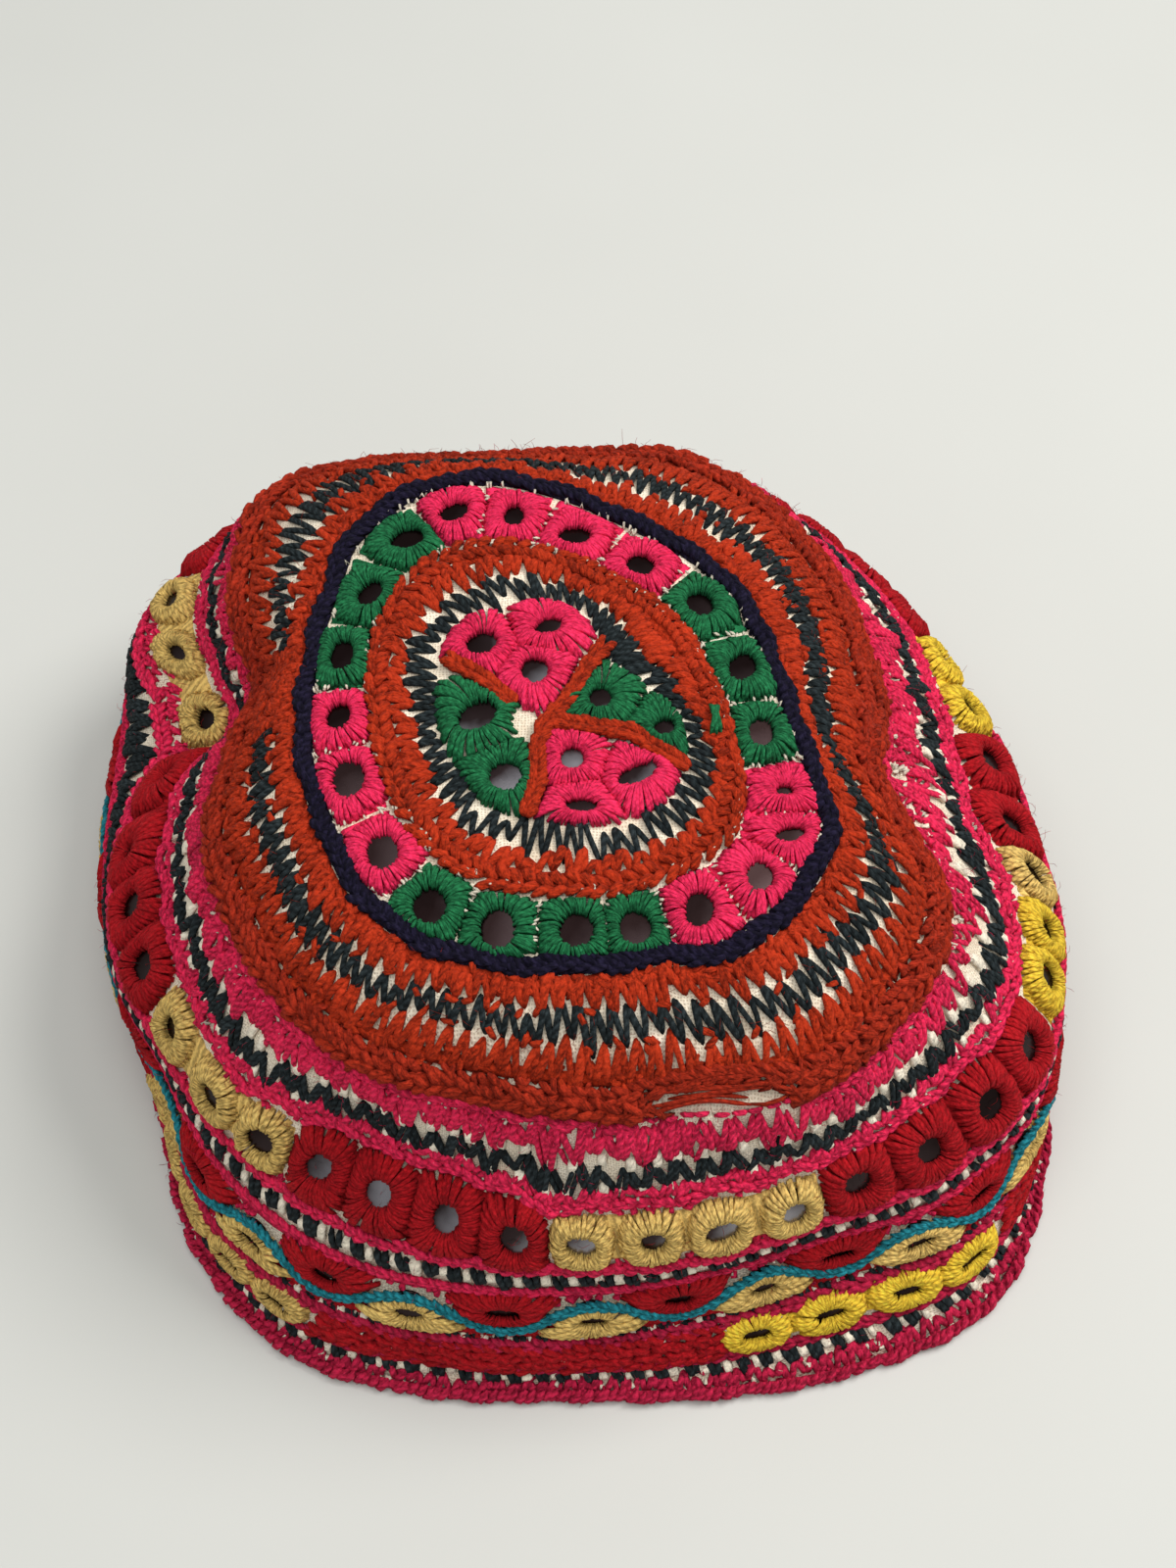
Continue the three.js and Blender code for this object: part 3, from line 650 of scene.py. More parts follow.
def satin(piece, low, high, pitch, width, height, rise=0.6, az0=0.0, az1=360.0, jitter=0.1, k=5, slant=0.0, keep=None, tint=None):
    """Parallel stitches across a line."""
    total = row_length(float((low(180.0) + high(180.0)) / 2)) * (az1 - az0) / 360.0
    n = max(3, int(round(total / pitch)))
    step = (az1 - az0) / n
    c = az0 + (np.arange(n) + 0.5) * step + rng.normal(0, jitter * step, n)
    if keep is not None:
        c = c[keep(c % 360.0)]
        n = len(c)
        if not n:
            return
    t = np.linspace(0, 1, k)
    a = c[:, None] + (t - 0.5) * slant * step
    lo, hi = low(c) + rng.normal(0, jitter, n) * (high(c) - low(c)) * 0.5, high(c) + rng.normal(0, jitter, n) * (high(c) - low(c)) * 0.5
    l = lo[:, None] * (1 - t) + hi[:, None] * t
    up = arch(k, rise)[None] + rng.normal(0, 0.06, (n, 1))
    lay(piece, a, l, up, width / 2 * rng.normal(1, 0.1, (n, 1)), height / 2, None if tint is None else np.clip(rng.normal(tint, 0.12, n), 0, 1))


def chain(piece, line, link, width, yarn_w, yarn_h, rise=0.5, az0=0.0, az1=360.0, jitter=0.08, k=7, flip=1, keep=None, tint=None,
          wander=0.0):
    """Chain stitch: pointed loops, each starting inside the one before."""
    total = row_length(float(line(180.0))) * (az1 - az0) / 360.0
    n = max(3, int(round(total / link)))
    step = (az1 - az0) / n
    start = az0 + np.arange(n) * step + rng.normal(0, jitter * step, n)
    if keep is not None:
        start = start[keep(start % 360.0)]
        n = len(start)
        if not n:
            return
    t = np.linspace(0, 1, k)
    shape = np.sin(np.pi * np.clip(t * 1.02, 0, 1)) ** 0.7 * (1.15 - 0.5 * t)
    mm_level = level_scale(float(line(180.0)))
    for s in (-1, 1):
        reach = step * 1.28
        a = start[:, None] + flip * (t[None] - 0.12) * reach
        sw = rng.normal(0, wander, (n, 1)) if wander else 0.0
        l = line(a) + s * (shape[None] * width / 2 * rng.normal(1, 0.12, (n, 1))) / mm_level + sw / mm_level
        up = rise * (0.25 + 0.85 * np.sin(np.pi * np.clip(t, 0, 1)) ** 0.6)[None] + rng.normal(0, 0.08, (n, 1)) + 0.12 * (t - 0.3)
        lay(piece, a, l, up, yarn_w / 2 * rng.normal(1, 0.1, (n, 1)), yarn_h / 2,
            None if tint is None else np.clip(rng.normal(tint, 0.12, n), 0, 1))


def plait(piece, line, link, width, yarn_w, yarn_h, rise=0.6, az0=0.0, az1=360.0, jitter=0.10, k=5, flip=1, keep=None, tint=None,
          wander=0.0, lean=1.35):
    """A closed chain or plait: two rows of fat slanting stitches that meet along the middle."""
    total = row_length(float(line(180.0))) * (az1 - az0) / 360.0
    n = max(3, int(round(total / link)))
    step = (az1 - az0) / n
    start = az0 + np.arange(n) * step
    if keep is not None:
        start = start[keep(start % 360.0)]
        n = len(start)
        if not n:
            return
    t = np.linspace(0, 1, k)
    mm_level = level_scale(float(line(180.0)))
    off = rng.normal(0, wander, (n, 1)) if wander else 0.0
    for s in (-1, 1):
        st = start + rng.normal(0, jitter * step, n)
        a = st[:, None] + flip * (t[None] * lean - 0.15) * step
        across = s * (width / 2) * (1 - 0.86 * smooth01(t[None] * 1.05)) * rng.normal(1, 0.10, (n, 1)) + off
        l = line(a) + across / mm_level
        up = rise * (0.15 + 0.95 * np.sin(np.pi * np.clip(0.12 + 0.80 * t, 0, 1)) ** 0.7)[None] + rng.normal(0, 0.08, (n, 1))
        lay(piece, a, l, up, yarn_w / 2 * rng.normal(1, 0.10, (n, 1)), yarn_h / 2,
            None if tint is None else np.clip(rng.normal(tint, 0.15, n), 0, 1), taper=0.5)


def underlay(piece, line, width, up=0.1, height=0.5, tint=0.4, az0=0.0, az1=360.0):
    """A low bed of the same yarn, so that no bare cloth shows between close stitches."""
    k = max(10, int((az1 - az0) * 0.8))
    az = np.linspace(az0, az1, k)
    P, N = surf(az, line(az), up)
    w = width(az) / 2 if callable(width) else width / 2
    piece.add(P[None], N[None], w, height, tint=np.array([tint]), taper=1.0, lump=0.05)


def seeds(piece, low, high, n, length, width, height, rise=0.35, tint=None, az0=0.0, az1=360.0, keep=None):
    """Small stitches scattered at any angle."""
    c = rng.uniform(az0, az1, n)
    if keep is not None:
        c = c[keep(c % 360.0)]
        n = len(c)
    f = rng.uniform(0, 1, n)
    l0 = low(c) * (1 - f) + high(c) * f
    th = rng.uniform(0, np.pi, n)
    mm_level = level_scale(float((low(180.0) + high(180.0)) / 2))
    mm_deg = row_length(float((low(180.0) + high(180.0)) / 2)) / 360.0
    k = 4 if length > 2.4 else 3
    t = np.linspace(-0.5, 0.5, k)
    L = length * rng.uniform(0.7, 1.3, n)
    a = c[:, None] + t[None] * (L * np.cos(th))[:, None] / mm_deg
    l = l0[:, None] + t[None] * (L * np.sin(th))[:, None] / mm_level
    up = arch(k, rise)[None] + rng.normal(0, 0.06, (n, 1))
    lay(piece, a, l, up, width / 2, height / 2, None if tint is None else np.clip(rng.normal(tint, 0.15, n), 0, 1), sides=4)


def checks(black, white, low, high, pitch, width, height, rise=0.65, jitter=0.12, slant=0.30, keep=None):
    """Pairs of dark stitches with a pale square of thread between two pairs."""
    total = row_length(float((low(180.0) + high(180.0)) / 2))
    n = int(round(total / pitch))
    step = 360.0 / n
    c = (np.arange(n) + 0.5) * step + rng.normal(0, jitter * step * 0.5, n)
    if keep is not None:
        c = c[keep(c % 360.0)]
        n = len(c)
    t = np.linspace(0, 1, 5)
    for piece, off, lean, f0, f1, wide, lift in ((black, -0.12, slant, 0.02, 1.0, 1.0, 1.0), (black, 0.14, slant * 0.5, 0.0, 0.95, 1.0, 1.0),
                                                 (white, 0.50, slant * 0.3, 0.16, 0.86, 1.35, 0.75)):
        cc = c + off * step
        a = cc[:, None] + (t - 0.5) * lean * step
        lo, hi = low(cc), high(cc)
        a0 = lo + (f0 + rng.normal(0, jitter * 0.6, n)) * (hi - lo)
        a1 = lo + (f1 + rng.normal(0, jitter * 0.6, n)) * (hi - lo)
        l = a0[:, None] * (1 - t) + a1[:, None] * t
        up = arch(5, rise * lift)[None] + rng.normal(0, 0.06, (n, 1))
        lay(piece, a, l, up, wide * width / 2 * rng.normal(1, 0.12, (n, 1)), height / 2)


def level_scale(level):
    """Millimetres for one unit of level, averaged round the cap."""
    e = 0.01
    lo, hi = max(level - e, 0.0), min(level + e, 2.0)
    d = look(GP, GRID_AZ[::8], hi) - look(GP, GRID_AZ[::8], lo)
    return float(np.linalg.norm(d, axis=-1).mean() / (hi - lo))


def cord(piece, az, level, up, radius, plies=2, twist=3.4, k=None, tint=None, flat=1.0):
    """A twisted cord laid along a path on the cloth, as separate plies wound round each other."""
    P, N = surf(az, level, up)
    d = np.concatenate([[0], np.cumsum(np.linalg.norm(np.diff(P, axis=0), axis=-1))])
    m = k or max(8, int(d[-1] / 0.9))
    s = np.linspace(0, d[-1], m)
    Q = np.stack([np.interp(s, d, P[:, j]) for j in range(3)], -1)
    NN = np.stack([np.interp(s, d, N[:, j]) for j in range(3)], -1)
    NN /= np.linalg.norm(NN, axis=-1, keepdims=True)
    T = np.gradient(Q, axis=0)
    T /= np.linalg.norm(T, axis=-1, keepdims=True)
    B = np.cross(T, NN)
    for p in range(plies):
        ph = 2 * np.pi * (s / twist + p / plies)
        off = radius * 0.52
        C = Q + B * (off * np.cos(ph))[:, None] * flat + NN * (off * np.sin(ph))[:, None]
        piece.add(C[None], NN[None], radius * 0.62, radius * 0.62, tint=np.array([0.5 if tint is None else tint]))


# ------------------------------------------------------------------ eyelets round the mirrors
def ray_limit(c, dirs, segs):
    """Distance from c along each direction to the nearest of the segments."""
    best = np.full(len(dirs), 1e9)
    for a, b in segs:
        e = b - a
        den = dirs[:, 0] * e[1] - dirs[:, 1] * e[0]
        den = np.where(np.abs(den) < 1e-9, 1e-9, den)
        ac = a - c
        t = (ac[0] * e[1] - ac[1] * e[0]) / den
        u = (ac[0] * dirs[:, 1] - ac[1] * dirs[:, 0]) / den
        ok = (t > 0) & (u >= -0.001) & (u <= 1.001)
        best = np.where(ok & (t < best), t, best)
    return best


def eyelet(piece, to_surface, c, hole, turn, outer, n=38, k=6, puff=2.2, seat=0.75, stitch_h=0.42, tint=None, foot=0.1, fine=True):
    """Radial stitches from a hole's edge out to outer(theta), round the point c of a flat chart.
    to_surface(x, y) gives azimuth and level."""
    th = np.arange(n) * 2 * np.pi / n + rng.normal(0, 0.02, n)
    dirs = np.stack([np.cos(th), np.sin(th)], -1)
    ca, sa = math.cos(turn), math.sin(turn)
    lx, ly = dirs[:, 0] * ca + dirs[:, 1] * sa, -dirs[:, 0] * sa + dirs[:, 1] * ca
    r_in = 1.0 / np.sqrt((lx / hole[0]) ** 2 + (ly / hole[1]) ** 2)
    r_in = r_in * rng.normal(1, 0.05, n)
    r_out = outer(dirs)
    r_out = np.maximum(r_out + 0.4, r_in + 0.9) + rng.normal(0, 0.14, n)
    t = np.array([0.0, 0.07, 0.24, 0.48, 0.76, 1.0]) if fine else np.array([0.0, 0.10, 0.32, 0.68, 1.0])
    swirl = rng.uniform(-0.05, 0.22)
    r = r_in[:, None] * (1 - t) + r_out[:, None] * t
    ang = th[:, None] + swirl * (t - 0.5) + rng.normal(0, 0.03, (n, 1)) * t
    x = c[0] + r * np.cos(ang)
    y = c[1] + r * np.sin(ang)
    prof = np.interp(t, [0.0, 0.07, 0.24, 0.48, 0.76, 1.0], [seat, seat + (puff - seat) * 0.62, puff, puff * 0.92, puff * 0.62, foot])
    up = prof[None] * np.ones((n, 1)) + rng.normal(0, 0.06, (n, 1))
    az, lv = to_surface(x, y)
    w_in, w_out = np.pi * r_in / n, np.pi * r_out / n
    w = (w_in[:, None] * (1 - t) + w_out[:, None] * t) * 1.22
    w = np.clip(w, 0.20, 0.62)
    h = np.clip(w * 0.95, 0.26, stitch_h)
    lay(piece, az, lv, up, w, h, None if tint is None else np.clip(rng.normal(tint, 0.14, n), 0, 1), taper=0.75)


def segments(points, closed=False):
    pts = [np.array(p, float) for p in points]
    s = list(zip(pts[:-1], pts[1:]))
    if closed:
        s.append((pts[-1], pts[0]))
    return s


def ring_line(radius, step=5):
    az = np.arange(0, 360, step)
    r = radius(az)
    a = np.radians(az)
    return list(zip(PHOTO_X + r * np.cos(a), PHOTO_Y + r * np.sin(a)))


def bisector(a, b, share=0.5, reach=9.0, gap=0.0):
    a, b = np.array(a, float), np.array(b, float)
    d = b - a
    length = np.hypot(*d)
    d = d / length
    m = a + d * (length * share - gap)
    s = np.array([-d[1], d[0]])
    return (m - s * reach, m + s * reach)


# Crown mirrors: colour, place in the photograph's frame, hole half sizes, turn in degrees.
RING_EYES = [
    ("pink", -22.8, 47.1, 2.9, 2.0, 30), ("pink", -12.7, 46.2, 1.8, 2.6, 0), ("pink", -2.3, 41.9, 3.0, 2.2, 20),
    ("pink", 8.6, 35.5, 2.4, 2.4, 40), ("green", 18.5, 27.8, 2.3, 2.6, 0), ("green", 25.1, 15.4, 2.2, 3.1, -25),
    ("green", 27.7, 2.6, 2.1, 2.6, 0), ("pink", 31.2, -8.1, 1.5, 1.0, 20), ("pink", 31.8, -16.0, 2.4, 1.2, 20),
    ("pink", 26.7, -23.5, 2.1, 2.4, 0), ("pink", 17.1, -29.4, 2.3, 2.8, 0), ("green", 7.2, -32.5, 2.6, 2.7, 0),
    ("green", -1.8, -33.0, 2.7, 2.8, 0), ("green", -13.9, -32.5, 2.9, 3.2, 0), ("green", -24.4, -28.6, 2.7, 3.0, 0),
    ("pink", -32.1, -19.3, 2.6, 2.9, 0), ("pink", -38.0, -6.0, 2.7, 3.1, 0), ("pink", -40.3, 6.0, 2.1, 2.5, 0),
    ("green", -40.3, 17.9, 2.1, 2.9, 0), ("green", -36.2, 30.2, 2.1, 2.8, -30), ("green", -30.6, 41.6, 3.0, 2.2, 20),
]
MID_EYES = [
    ("pink", -17.4, 18.7, 2.7, 2.2, 35, "A"), ("pink", -6.6, 22.0, 2.3, 1.5, 25, "A"), ("pink", -8.6, 13.2, 2.3, 2.4, 30, "A"),
    ("green", -17.7, 4.7, 3.4, 2.4, 35, "B"), ("green", -13.0, -6.7, 2.7, 2.5, 0, "B"),
    ("green", 1.9, 7.8, 1.9, 1.9, 0, "C"), ("green", 12.1, 2.4, 2.0, 1.5, 35, "C"),
    ("pink", -2.5, -3.5, 1.9, 2.1, 0, "D"), ("pink", 7.9, -6.2, 3.7, 1.5, 27, "D"), ("pink", -1.2, -12.0, 2.5, 1.2, 0, "D"),
]
DIVIDERS = [
    [(3.4, 19.4), (0.0, 14.2), (-2.4, 8.8), (-4.8, 5.6), (-7.2, 2.3), (-8.1, -1.6), (-7.8, -5.7), (-8.7, -10.4), (-9.8, -13.6)],
    [(-23.4, 16.6), (-18.4, 13.0), (-14.8, 10.0), (-12.0, 6.9)],
    [(-6.2, 3.9), (-1.7, 2.9), (2.4, 2.3), (7.1, 1.6), (10.2, -0.9), (13.6, -3.1), (15.9, -4.8)],
]


def crown_embroidery():
    pink, green = yarn("crown_pink_eyelets", "hotpink", 4), yarn("crown_green_eyelets", "green", 4)
    pick = {"pink": pink, "green": green}
    inner = segments(ring_line(lambda a: emb("orange_out", a) + 0.5), True)
    outer = segments(ring_line(lambda a: ring("navy", a) - 1.5), True)
    n = len(RING_EYES)
    for i, (col, x, y, a, b, turn) in enumerate(RING_EYES):
        segs = list(inner) + list(outer)
        for j in ((i - 1) % n, (i + 1) % n):
            o = RING_EYES[j]
            segs.append(bisector((x, y), (o[1], o[2]), 0.5, 7.5, 0.1 if o[0] == col else 0.35))
        c = np.array([x, y])
        limit = lambda d, c=c, segs=segs: soft_min(ray_limit(c, d, segs), 7.9, 4.0)
        eyelet(pick[col], crown_place, c, (a, b), math.radians(turn), limit, n=54)
    mids = []
    azs = [float(crown_place(e[1], e[2])[0]) for e in RING_EYES]
    for i in range(n):
        a0, a1 = azs[i - 1], azs[i]
        a0 = a0 + 360 if a0 < a1 - 180 else a0
        mids.append((a0 + a1) / 2)
    for i, e in enumerate(RING_EYES):
        hi_az, lo_az = mids[i], mids[(i + 1) % n]
        if lo_az > hi_az:
            lo_az -= 360
        underlay(pick[e[0]], lambda a: (emb("orange_out", a) + ring("navy", a) - 1) / 2 / ring("edge", a),
                 lambda a: ring("navy", a) - emb("orange_out", a) - 2.2, -0.1, 0.55, az0=lo_az + 0.6, az1=hi_az - 0.6)
    inside = segments(ring_line(lambda a: emb("black_in", a) + 0.3), True)
    cords = []
    for line in DIVIDERS:
        for p, q in segments(line):
            d = (q - p) / np.hypot(*(q - p))
            s = np.array([-d[1], d[0]]) * 1.15
            cords += [(p + s, q + s), (p - s, q - s)]
    spot = [(-10.6 + 2.3 * math.cos(t), 3.4 + 2.9 * math.sin(t)) for t in np.linspace(0, 2 * np.pi, 13)[:-1]]
    spot = segments(spot, True)
    stop = segments([(-13.0, 8.2), (-10.2, 5.4)])
    for i, (col, x, y, a, b, turn, petal) in enumerate(MID_EYES):
        segs = inside + cords + spot + (stop if petal == "B" else [])
        for j, o in enumerate(MID_EYES):
            if j != i and (o[6] == petal or o[0] != col) and {o[6], petal} != {"A", "B"}:
                segs = segs + [bisector((x, y), (o[1], o[2]), 0.5, 6.0, 0.0 if o[6] == petal else 0.4)]
        c = np.array([x, y])
        limit = lambda d, c=c, segs=segs, far=10.5 if petal == "B" else 8.6: soft_min(ray_limit(c, d, segs), far)
        eyelet(pick[col], crown_place, c, (a, b), math.radians(turn), limit, n=52)

    # dividing cords of the medallion
    oc = yarn("medallion_cords", "orange")
    for line in DIVIDERS:
        pts = np.array(line)
        d = np.concatenate([[0], np.cumsum(np.hypot(*np.diff(pts, axis=0).T))])
        s = np.linspace(0, d[-1], int(d[-1] * 3))
        x, y = np.interp(s, d, pts[:, 0]), np.interp(s, d, pts[:, 1])
        kk = np.ones(7) / 7
        xs, ys = np.convolve(np.pad(x, 3, "edge"), kk, "valid"), np.convolve(np.pad(y, 3, "edge"), kk, "valid")
        dx, dy = np.gradient(xs), np.gradient(ys)
        q = np.hypot(dx, dy)
        n = int(d[-1] / 1.25)
        t = np.linspace(0, 1, 6)
        for side in (-1, 1):
            at = np.clip((np.arange(n)[:, None] + t[None] * 3.0 - 0.6 + rng.normal(0, 0.15, (n, 1))) * 1.25 / d[-1], 0, 1) * (len(s) - 1)
            o = side * 1.15 * (1 - 0.8 * smooth01(t))[None] * rng.normal(1, 0.12, (n, 1))
            g = lambda v: np.interp(at, np.arange(len(s)), v)
            az, lv = crown_place(g(xs) - g(dy / q) * o, g(ys) + g(dx / q) * o)
            up = 1.25 * (0.35 + 0.85 * np.sin(np.pi * (0.1 + 0.8 * t)))[None] + rng.normal(0, 0.08, (n, 1))
            lay(oc, az, lv, up, 0.62 * rng.normal(1, 0.1, (n, 1)), 0.55, np.clip(rng.normal(0.4, 0.15, n), 0, 1))

    rad = lambda name, off=0.0: (lambda a: (emb(name, a) + off) / ring("edge", a))
    between = lambda p, q, f: (lambda a: (emb(p, a) * (1 - f) + emb(q, a) * f) / ring("edge", a))
    zone = lambda f: (lambda a: crown_zone(f, a))
    black = yarn("crown_black_zigzag", "black")
    zigzag(black, rad("black_in", -0.6), rad("black_out", 1.5), 2.75, 0.95, 0.85, rise=0.55, skew=0.2, jitter=0.16)
    orange = yarn("crown_orange_inner", "orange")
    underlay(orange, between("black_out", "orange_out", 0.68), lambda a: (emb("orange_out", a) - emb("black_out", a)) * 0.42, 0.15, 0.7)
    zigzag(orange, rad("black_out", -0.4), rad("orange_out", -1.9), 2.6, 1.35, 1.1, rise=0.85, skew=-0.3, jitter=0.16)
    plait(orange, rad("orange_out", -1.35), 2.3, 3.5, 1.6, 1.25, rise=1.05, wander=0.15, tint=0.36)

    # navy cord round the ring of mirrors, in shallow scallops
    navy = yarn("navy_cord", "navy")
    az = np.linspace(0, 360, 1081)
    r = ring("navy", az) - 0.35 + 0.45 * np.sin(np.radians(az) * 21)
    underlay(navy, lambda a: (ring("navy", a) - 0.35) / ring("edge", a), 2.9, 0.2, 0.9, tint=0.3)
    lv = lambda a: (ring("navy", a) - 0.35 + 0.45 * np.sin(np.radians(a) * 21)) / ring("edge", a)
    plait(navy, lv, 2.6, 2.7, 1.35, 1.2, rise=1.15, jitter=0.05, lean=1.6)
    satin(navy, lambda a: lv(a) - 1.25 / ring("edge", a), lambda a: lv(a) + 1.25 / ring("edge", a), 1.8, 1.3, 1.1, rise=1.25, slant=2.4)

    orange2 = yarn("crown_orange_middle", "orange")
    underlay(orange2, zone(0.12), lambda a: (ring("edge", a) - ring("navy", a)) * 0.14, 0.1, 0.6)
    zigzag(orange2, zone(0.05), zone(0.33), 2.75, 1.25, 1.1, rise=0.8, skew=0.35, jitter=0.12)
    seeds(orange2, zone(0.06), zone(0.20), 390, 2.8, 1.1, 1.0, rise=0.85)
    black2 = yarn("crown_black_zigzag_outer", "black")
    zigzag(black2, lambda a: zone(0.27)(a) - 0.014 * bump01((a - 140.0) / 32.0), lambda a: zone(0.57)(a) + 0.012 * bump01((a - 140.0) / 32.0), 2.7, 1.05, 0.9, rise=0.6, skew=0.3, jitter=0.10, keep=lambda a: (a < 166.5) | (a > 181.5))
    orange3 = yarn("crown_orange_outer", "orange")
    underlay(orange3, zone(0.75), lambda a: (ring("edge", a) - ring("navy", a)) * 0.13, 0.1, 0.6)
    zigzag(orange3, zone(0.50), zone(0.82), 2.75, 1.25, 1.1, rise=0.8, skew=-0.3, jitter=0.12)
    seeds(orange3, zone(0.66), zone(0.82), 410, 2.8, 1.1, 1.0, rise=0.85)
    seeds(orange3, zone(0.25), zone(0.60), 90, 3.6, 1.3, 1.1, rise=0.9, az0=165, az1=183)
    seeds(orange3, zone(0.48), zone(0.58), 130, 2.8, 1.1, 1.0, rise=0.6)
    seeds(orange2, zone(0.28), zone(0.36), 80, 2.8, 1.1, 1.0, rise=0.6)

    cream = yarn("cream_flecks", "cream", 4)
    for i, e in enumerate(RING_EYES):
        o = RING_EYES[(i + 1) % n]
        m, d = np.array([(e[1] + o[1]) / 2, (e[2] + o[2]) / 2]), np.array([o[1] - e[1], o[2] - e[2]])
        d = d / np.hypot(*d)
        across = np.array([-d[1], d[0]])
        count = 7
        f = rng.uniform(-5.2, 5.2, count)
        t = np.linspace(-0.5, 0.5, 3)
        q = m + across * f[:, None] + d * rng.normal(0, 0.35, (count, 1))
        r = d * rng.uniform(0.7, 1.3, (count, 1)) + across * rng.normal(0, 0.35, (count, 1))
        x, y = q[:, 0, None] + r[:, 0, None] * t, q[:, 1, None] + r[:, 1, None] * t
        az, lv = crown_place(x, y)
        lay(cream, az, lv, 1.0 + 0 * az, 0.24, 0.24)
    seeds(cream, rad("orange_out", -1.4), rad("orange_out", 0.9), 90, 1.1, 0.5, 0.45, rise=1.5)
    seeds(cream, lambda a: (ring("navy", a) - 2.6) / ring("edge", a), lambda a: (ring("navy", a) - 1.6) / ring("edge", a), 120, 1.1, 0.5, 0.45, rise=1.4)

    # one green stitch strayed over the orange ring
    t = np.linspace(0, 1, 7)
    for k in range(5):
        x = 20.2 + 0.35 * k - 0.7 + 0.5 * np.sin(t * 3 + k) + rng.normal(0, 0.1)
        y = 6.9 - 5.4 * t + rng.normal(0, 0.35)
        az, lv = crown_place(x, y)
        lay(green, az[None], lv[None], (1.3 + 1.1 * np.sin(np.pi * t) ** 0.6)[None], 0.42, 0.4)


def edge_braid():
    braid = yarn("crown_edge_braid_stitched", "braid")
    zone = lambda f: (lambda a: crown_zone(f, a))
    split = lambda a: bump01(((np.asarray(a, float) % 360) - 289.0) / 18.0)
    solid = lambda a: split(a) < 0.15
    E = lambda a: 1 - drawn_in(a)
    underlay(braid, lambda a: zone(0.90)(a), 3.6, 0.1, 0.7, tint=0.25, az0=-56, az1=274)
    plait(braid, lambda a: zone(0.865)(a) - 0.034 * split(a), 2.2, 2.9, 1.35, 1.15, rise=1.15, jitter=0.16, wander=0.22)
    plait(braid, lambda a: 0.978 * E(a) + 0.010 * split(a), 2.2, 3.1, 1.4, 1.25, rise=1.55, jitter=0.16, wander=0.25, tint=0.42,
          keep=lambda a: split(a) < 0.45)
    underlay(braid, lambda a: 0.984 * E(a) + 0.01 * split(a), 3.0, 0.4, 1.0, tint=0.25, az0=-62, az1=279)
    # where the edge has frayed at the front, torn strands lie along it over the bare cloth
    seeds(braid, lambda a: 0.955 + 0 * a, lambda a: 0.992 + 0 * a, 30, 6.0, 0.7, 0.6, rise=1.5, az0=274, az1=282)
    seeds(braid, lambda a: 0.945 + 0 * a, lambda a: 0.985 + 0 * a, 36, 6.0, 0.7, 0.6, rise=1.5, az0=296, az1=305)
    t = np.linspace(0, 1, 9)
    for q in range(9):
        a0, a1 = 278 + rng.uniform(0, 6), 297 + rng.uniform(-6, 6)
        lv = 0.925 + 0.0065 * q + rng.uniform(-0.006, 0.006) + 0.004 * np.sin(t * 5 + q) - 0.014 * np.sin(np.pi * t)
        lay(braid, (a0 + (a1 - a0) * t)[None], lv[None], (0.5 + 0.9 * np.sin(np.pi * t))[None], 0.36, 0.34, np.array([0.6]))
    # loose wool on the right, where the edge has worn and been drawn in
    right = lambda a: (a > 322) | (a < 62)
    seeds(braid, zone(0.80), lambda a: 1.008 * E(a), 420, 5.0, 1.1, 1.0, rise=1.6, keep=right)
    seeds(braid, zone(0.78), lambda a: 1.006 * E(a), 460, 3.6, 1.0, 0.9, rise=1.35, keep=lambda a: solid(a))
    return braid


# ------------------------------------------------------------------ band
def band_chart(az0, level0):
    """A flat chart in millimetres round a point of the band: x to larger azimuth, y up."""
    P0, _ = surf(np.array(az0), np.array(level0))
    Pa, _ = surf(np.array(az0 + 1.0), np.array(level0))
    Pl, _ = surf(np.array(az0), np.array(level0 - 0.02))
    per_deg = float(np.linalg.norm(Pa - P0))
    per_level = float(np.linalg.norm(Pl - P0)) / 0.02
    return (lambda x, y: (az0 + np.asarray(x) / per_deg, level0 - np.asarray(y) / per_level)), per_deg, per_level


UPPER_LEVEL, LENS_LEVEL, LOWER_LEVEL = 1.375, 1.67, 1.835
# Azimuths of the mirrors, as in the CAD part.
UPPER = [185, 193.3, 201.7, 211.7, 221.7, 230.4, 238.3, 246.2, 255, 263.6, 271.1, 279.7, 287.6, 296.6, 304.3, 313.4, 321.8, 330,
         338.8, 344.8, 351.5, 358.9, 8.7, 17.2, 26.8, *np.linspace(35.4, 139, 13), 147.6, 155, 164.7, 174.5]
LENS = [*np.linspace(203.7, 232.5, 4), 242, 251.9, 262.8, 272.4, 282.8, 292.6, 301.4, 310.1, 318, 325.5,
        *np.linspace(335.1, 364, 4), *np.linspace(373.6, 554.1, 20)]
LOWER_TAN = [208.7, 215.8, 223, 230.1, 237.2]
LOWER_YELLOW = [290.7, 298.9, 307.2, 314.7]


def upper_colour(az):
    for lo, hi, c in ((169.6, 206.7, "red"), (206.7, 234.4, "tan"), (234.4, 267.3, "red"), (267.3, 300.5, "tan"), (300.5, 334.4, "red"),
                      (334.4, 348.1, "yellow"), (348.1, 355, "tan"), (-5, 13, "red"), (13, 31, "yellow"), (31, 74, "red"), (74, 108, "tan"),
                      (108, 143, "red"), (143, 169.6, "tan")):
        if lo <= az < hi or lo <= az - 360 < hi:
            return c
    return "red"


def near_gap(centres):
    """0 over each eyelet, 1 midway between two."""
    c = np.sort(np.array(centres) % 360.0)
    c = np.concatenate([[c[-1] - 360], c, [c[0] + 360]])
    x = np.empty(2 * len(c) - 1)
    x[0::2] = c
    x[1::2] = (c[:-1] + c[1:]) / 2
    y = np.zeros_like(x)
    y[1::2] = 1
    return lambda a: np.interp(np.asarray(a, float) % 360.0, x, y) ** 1.6


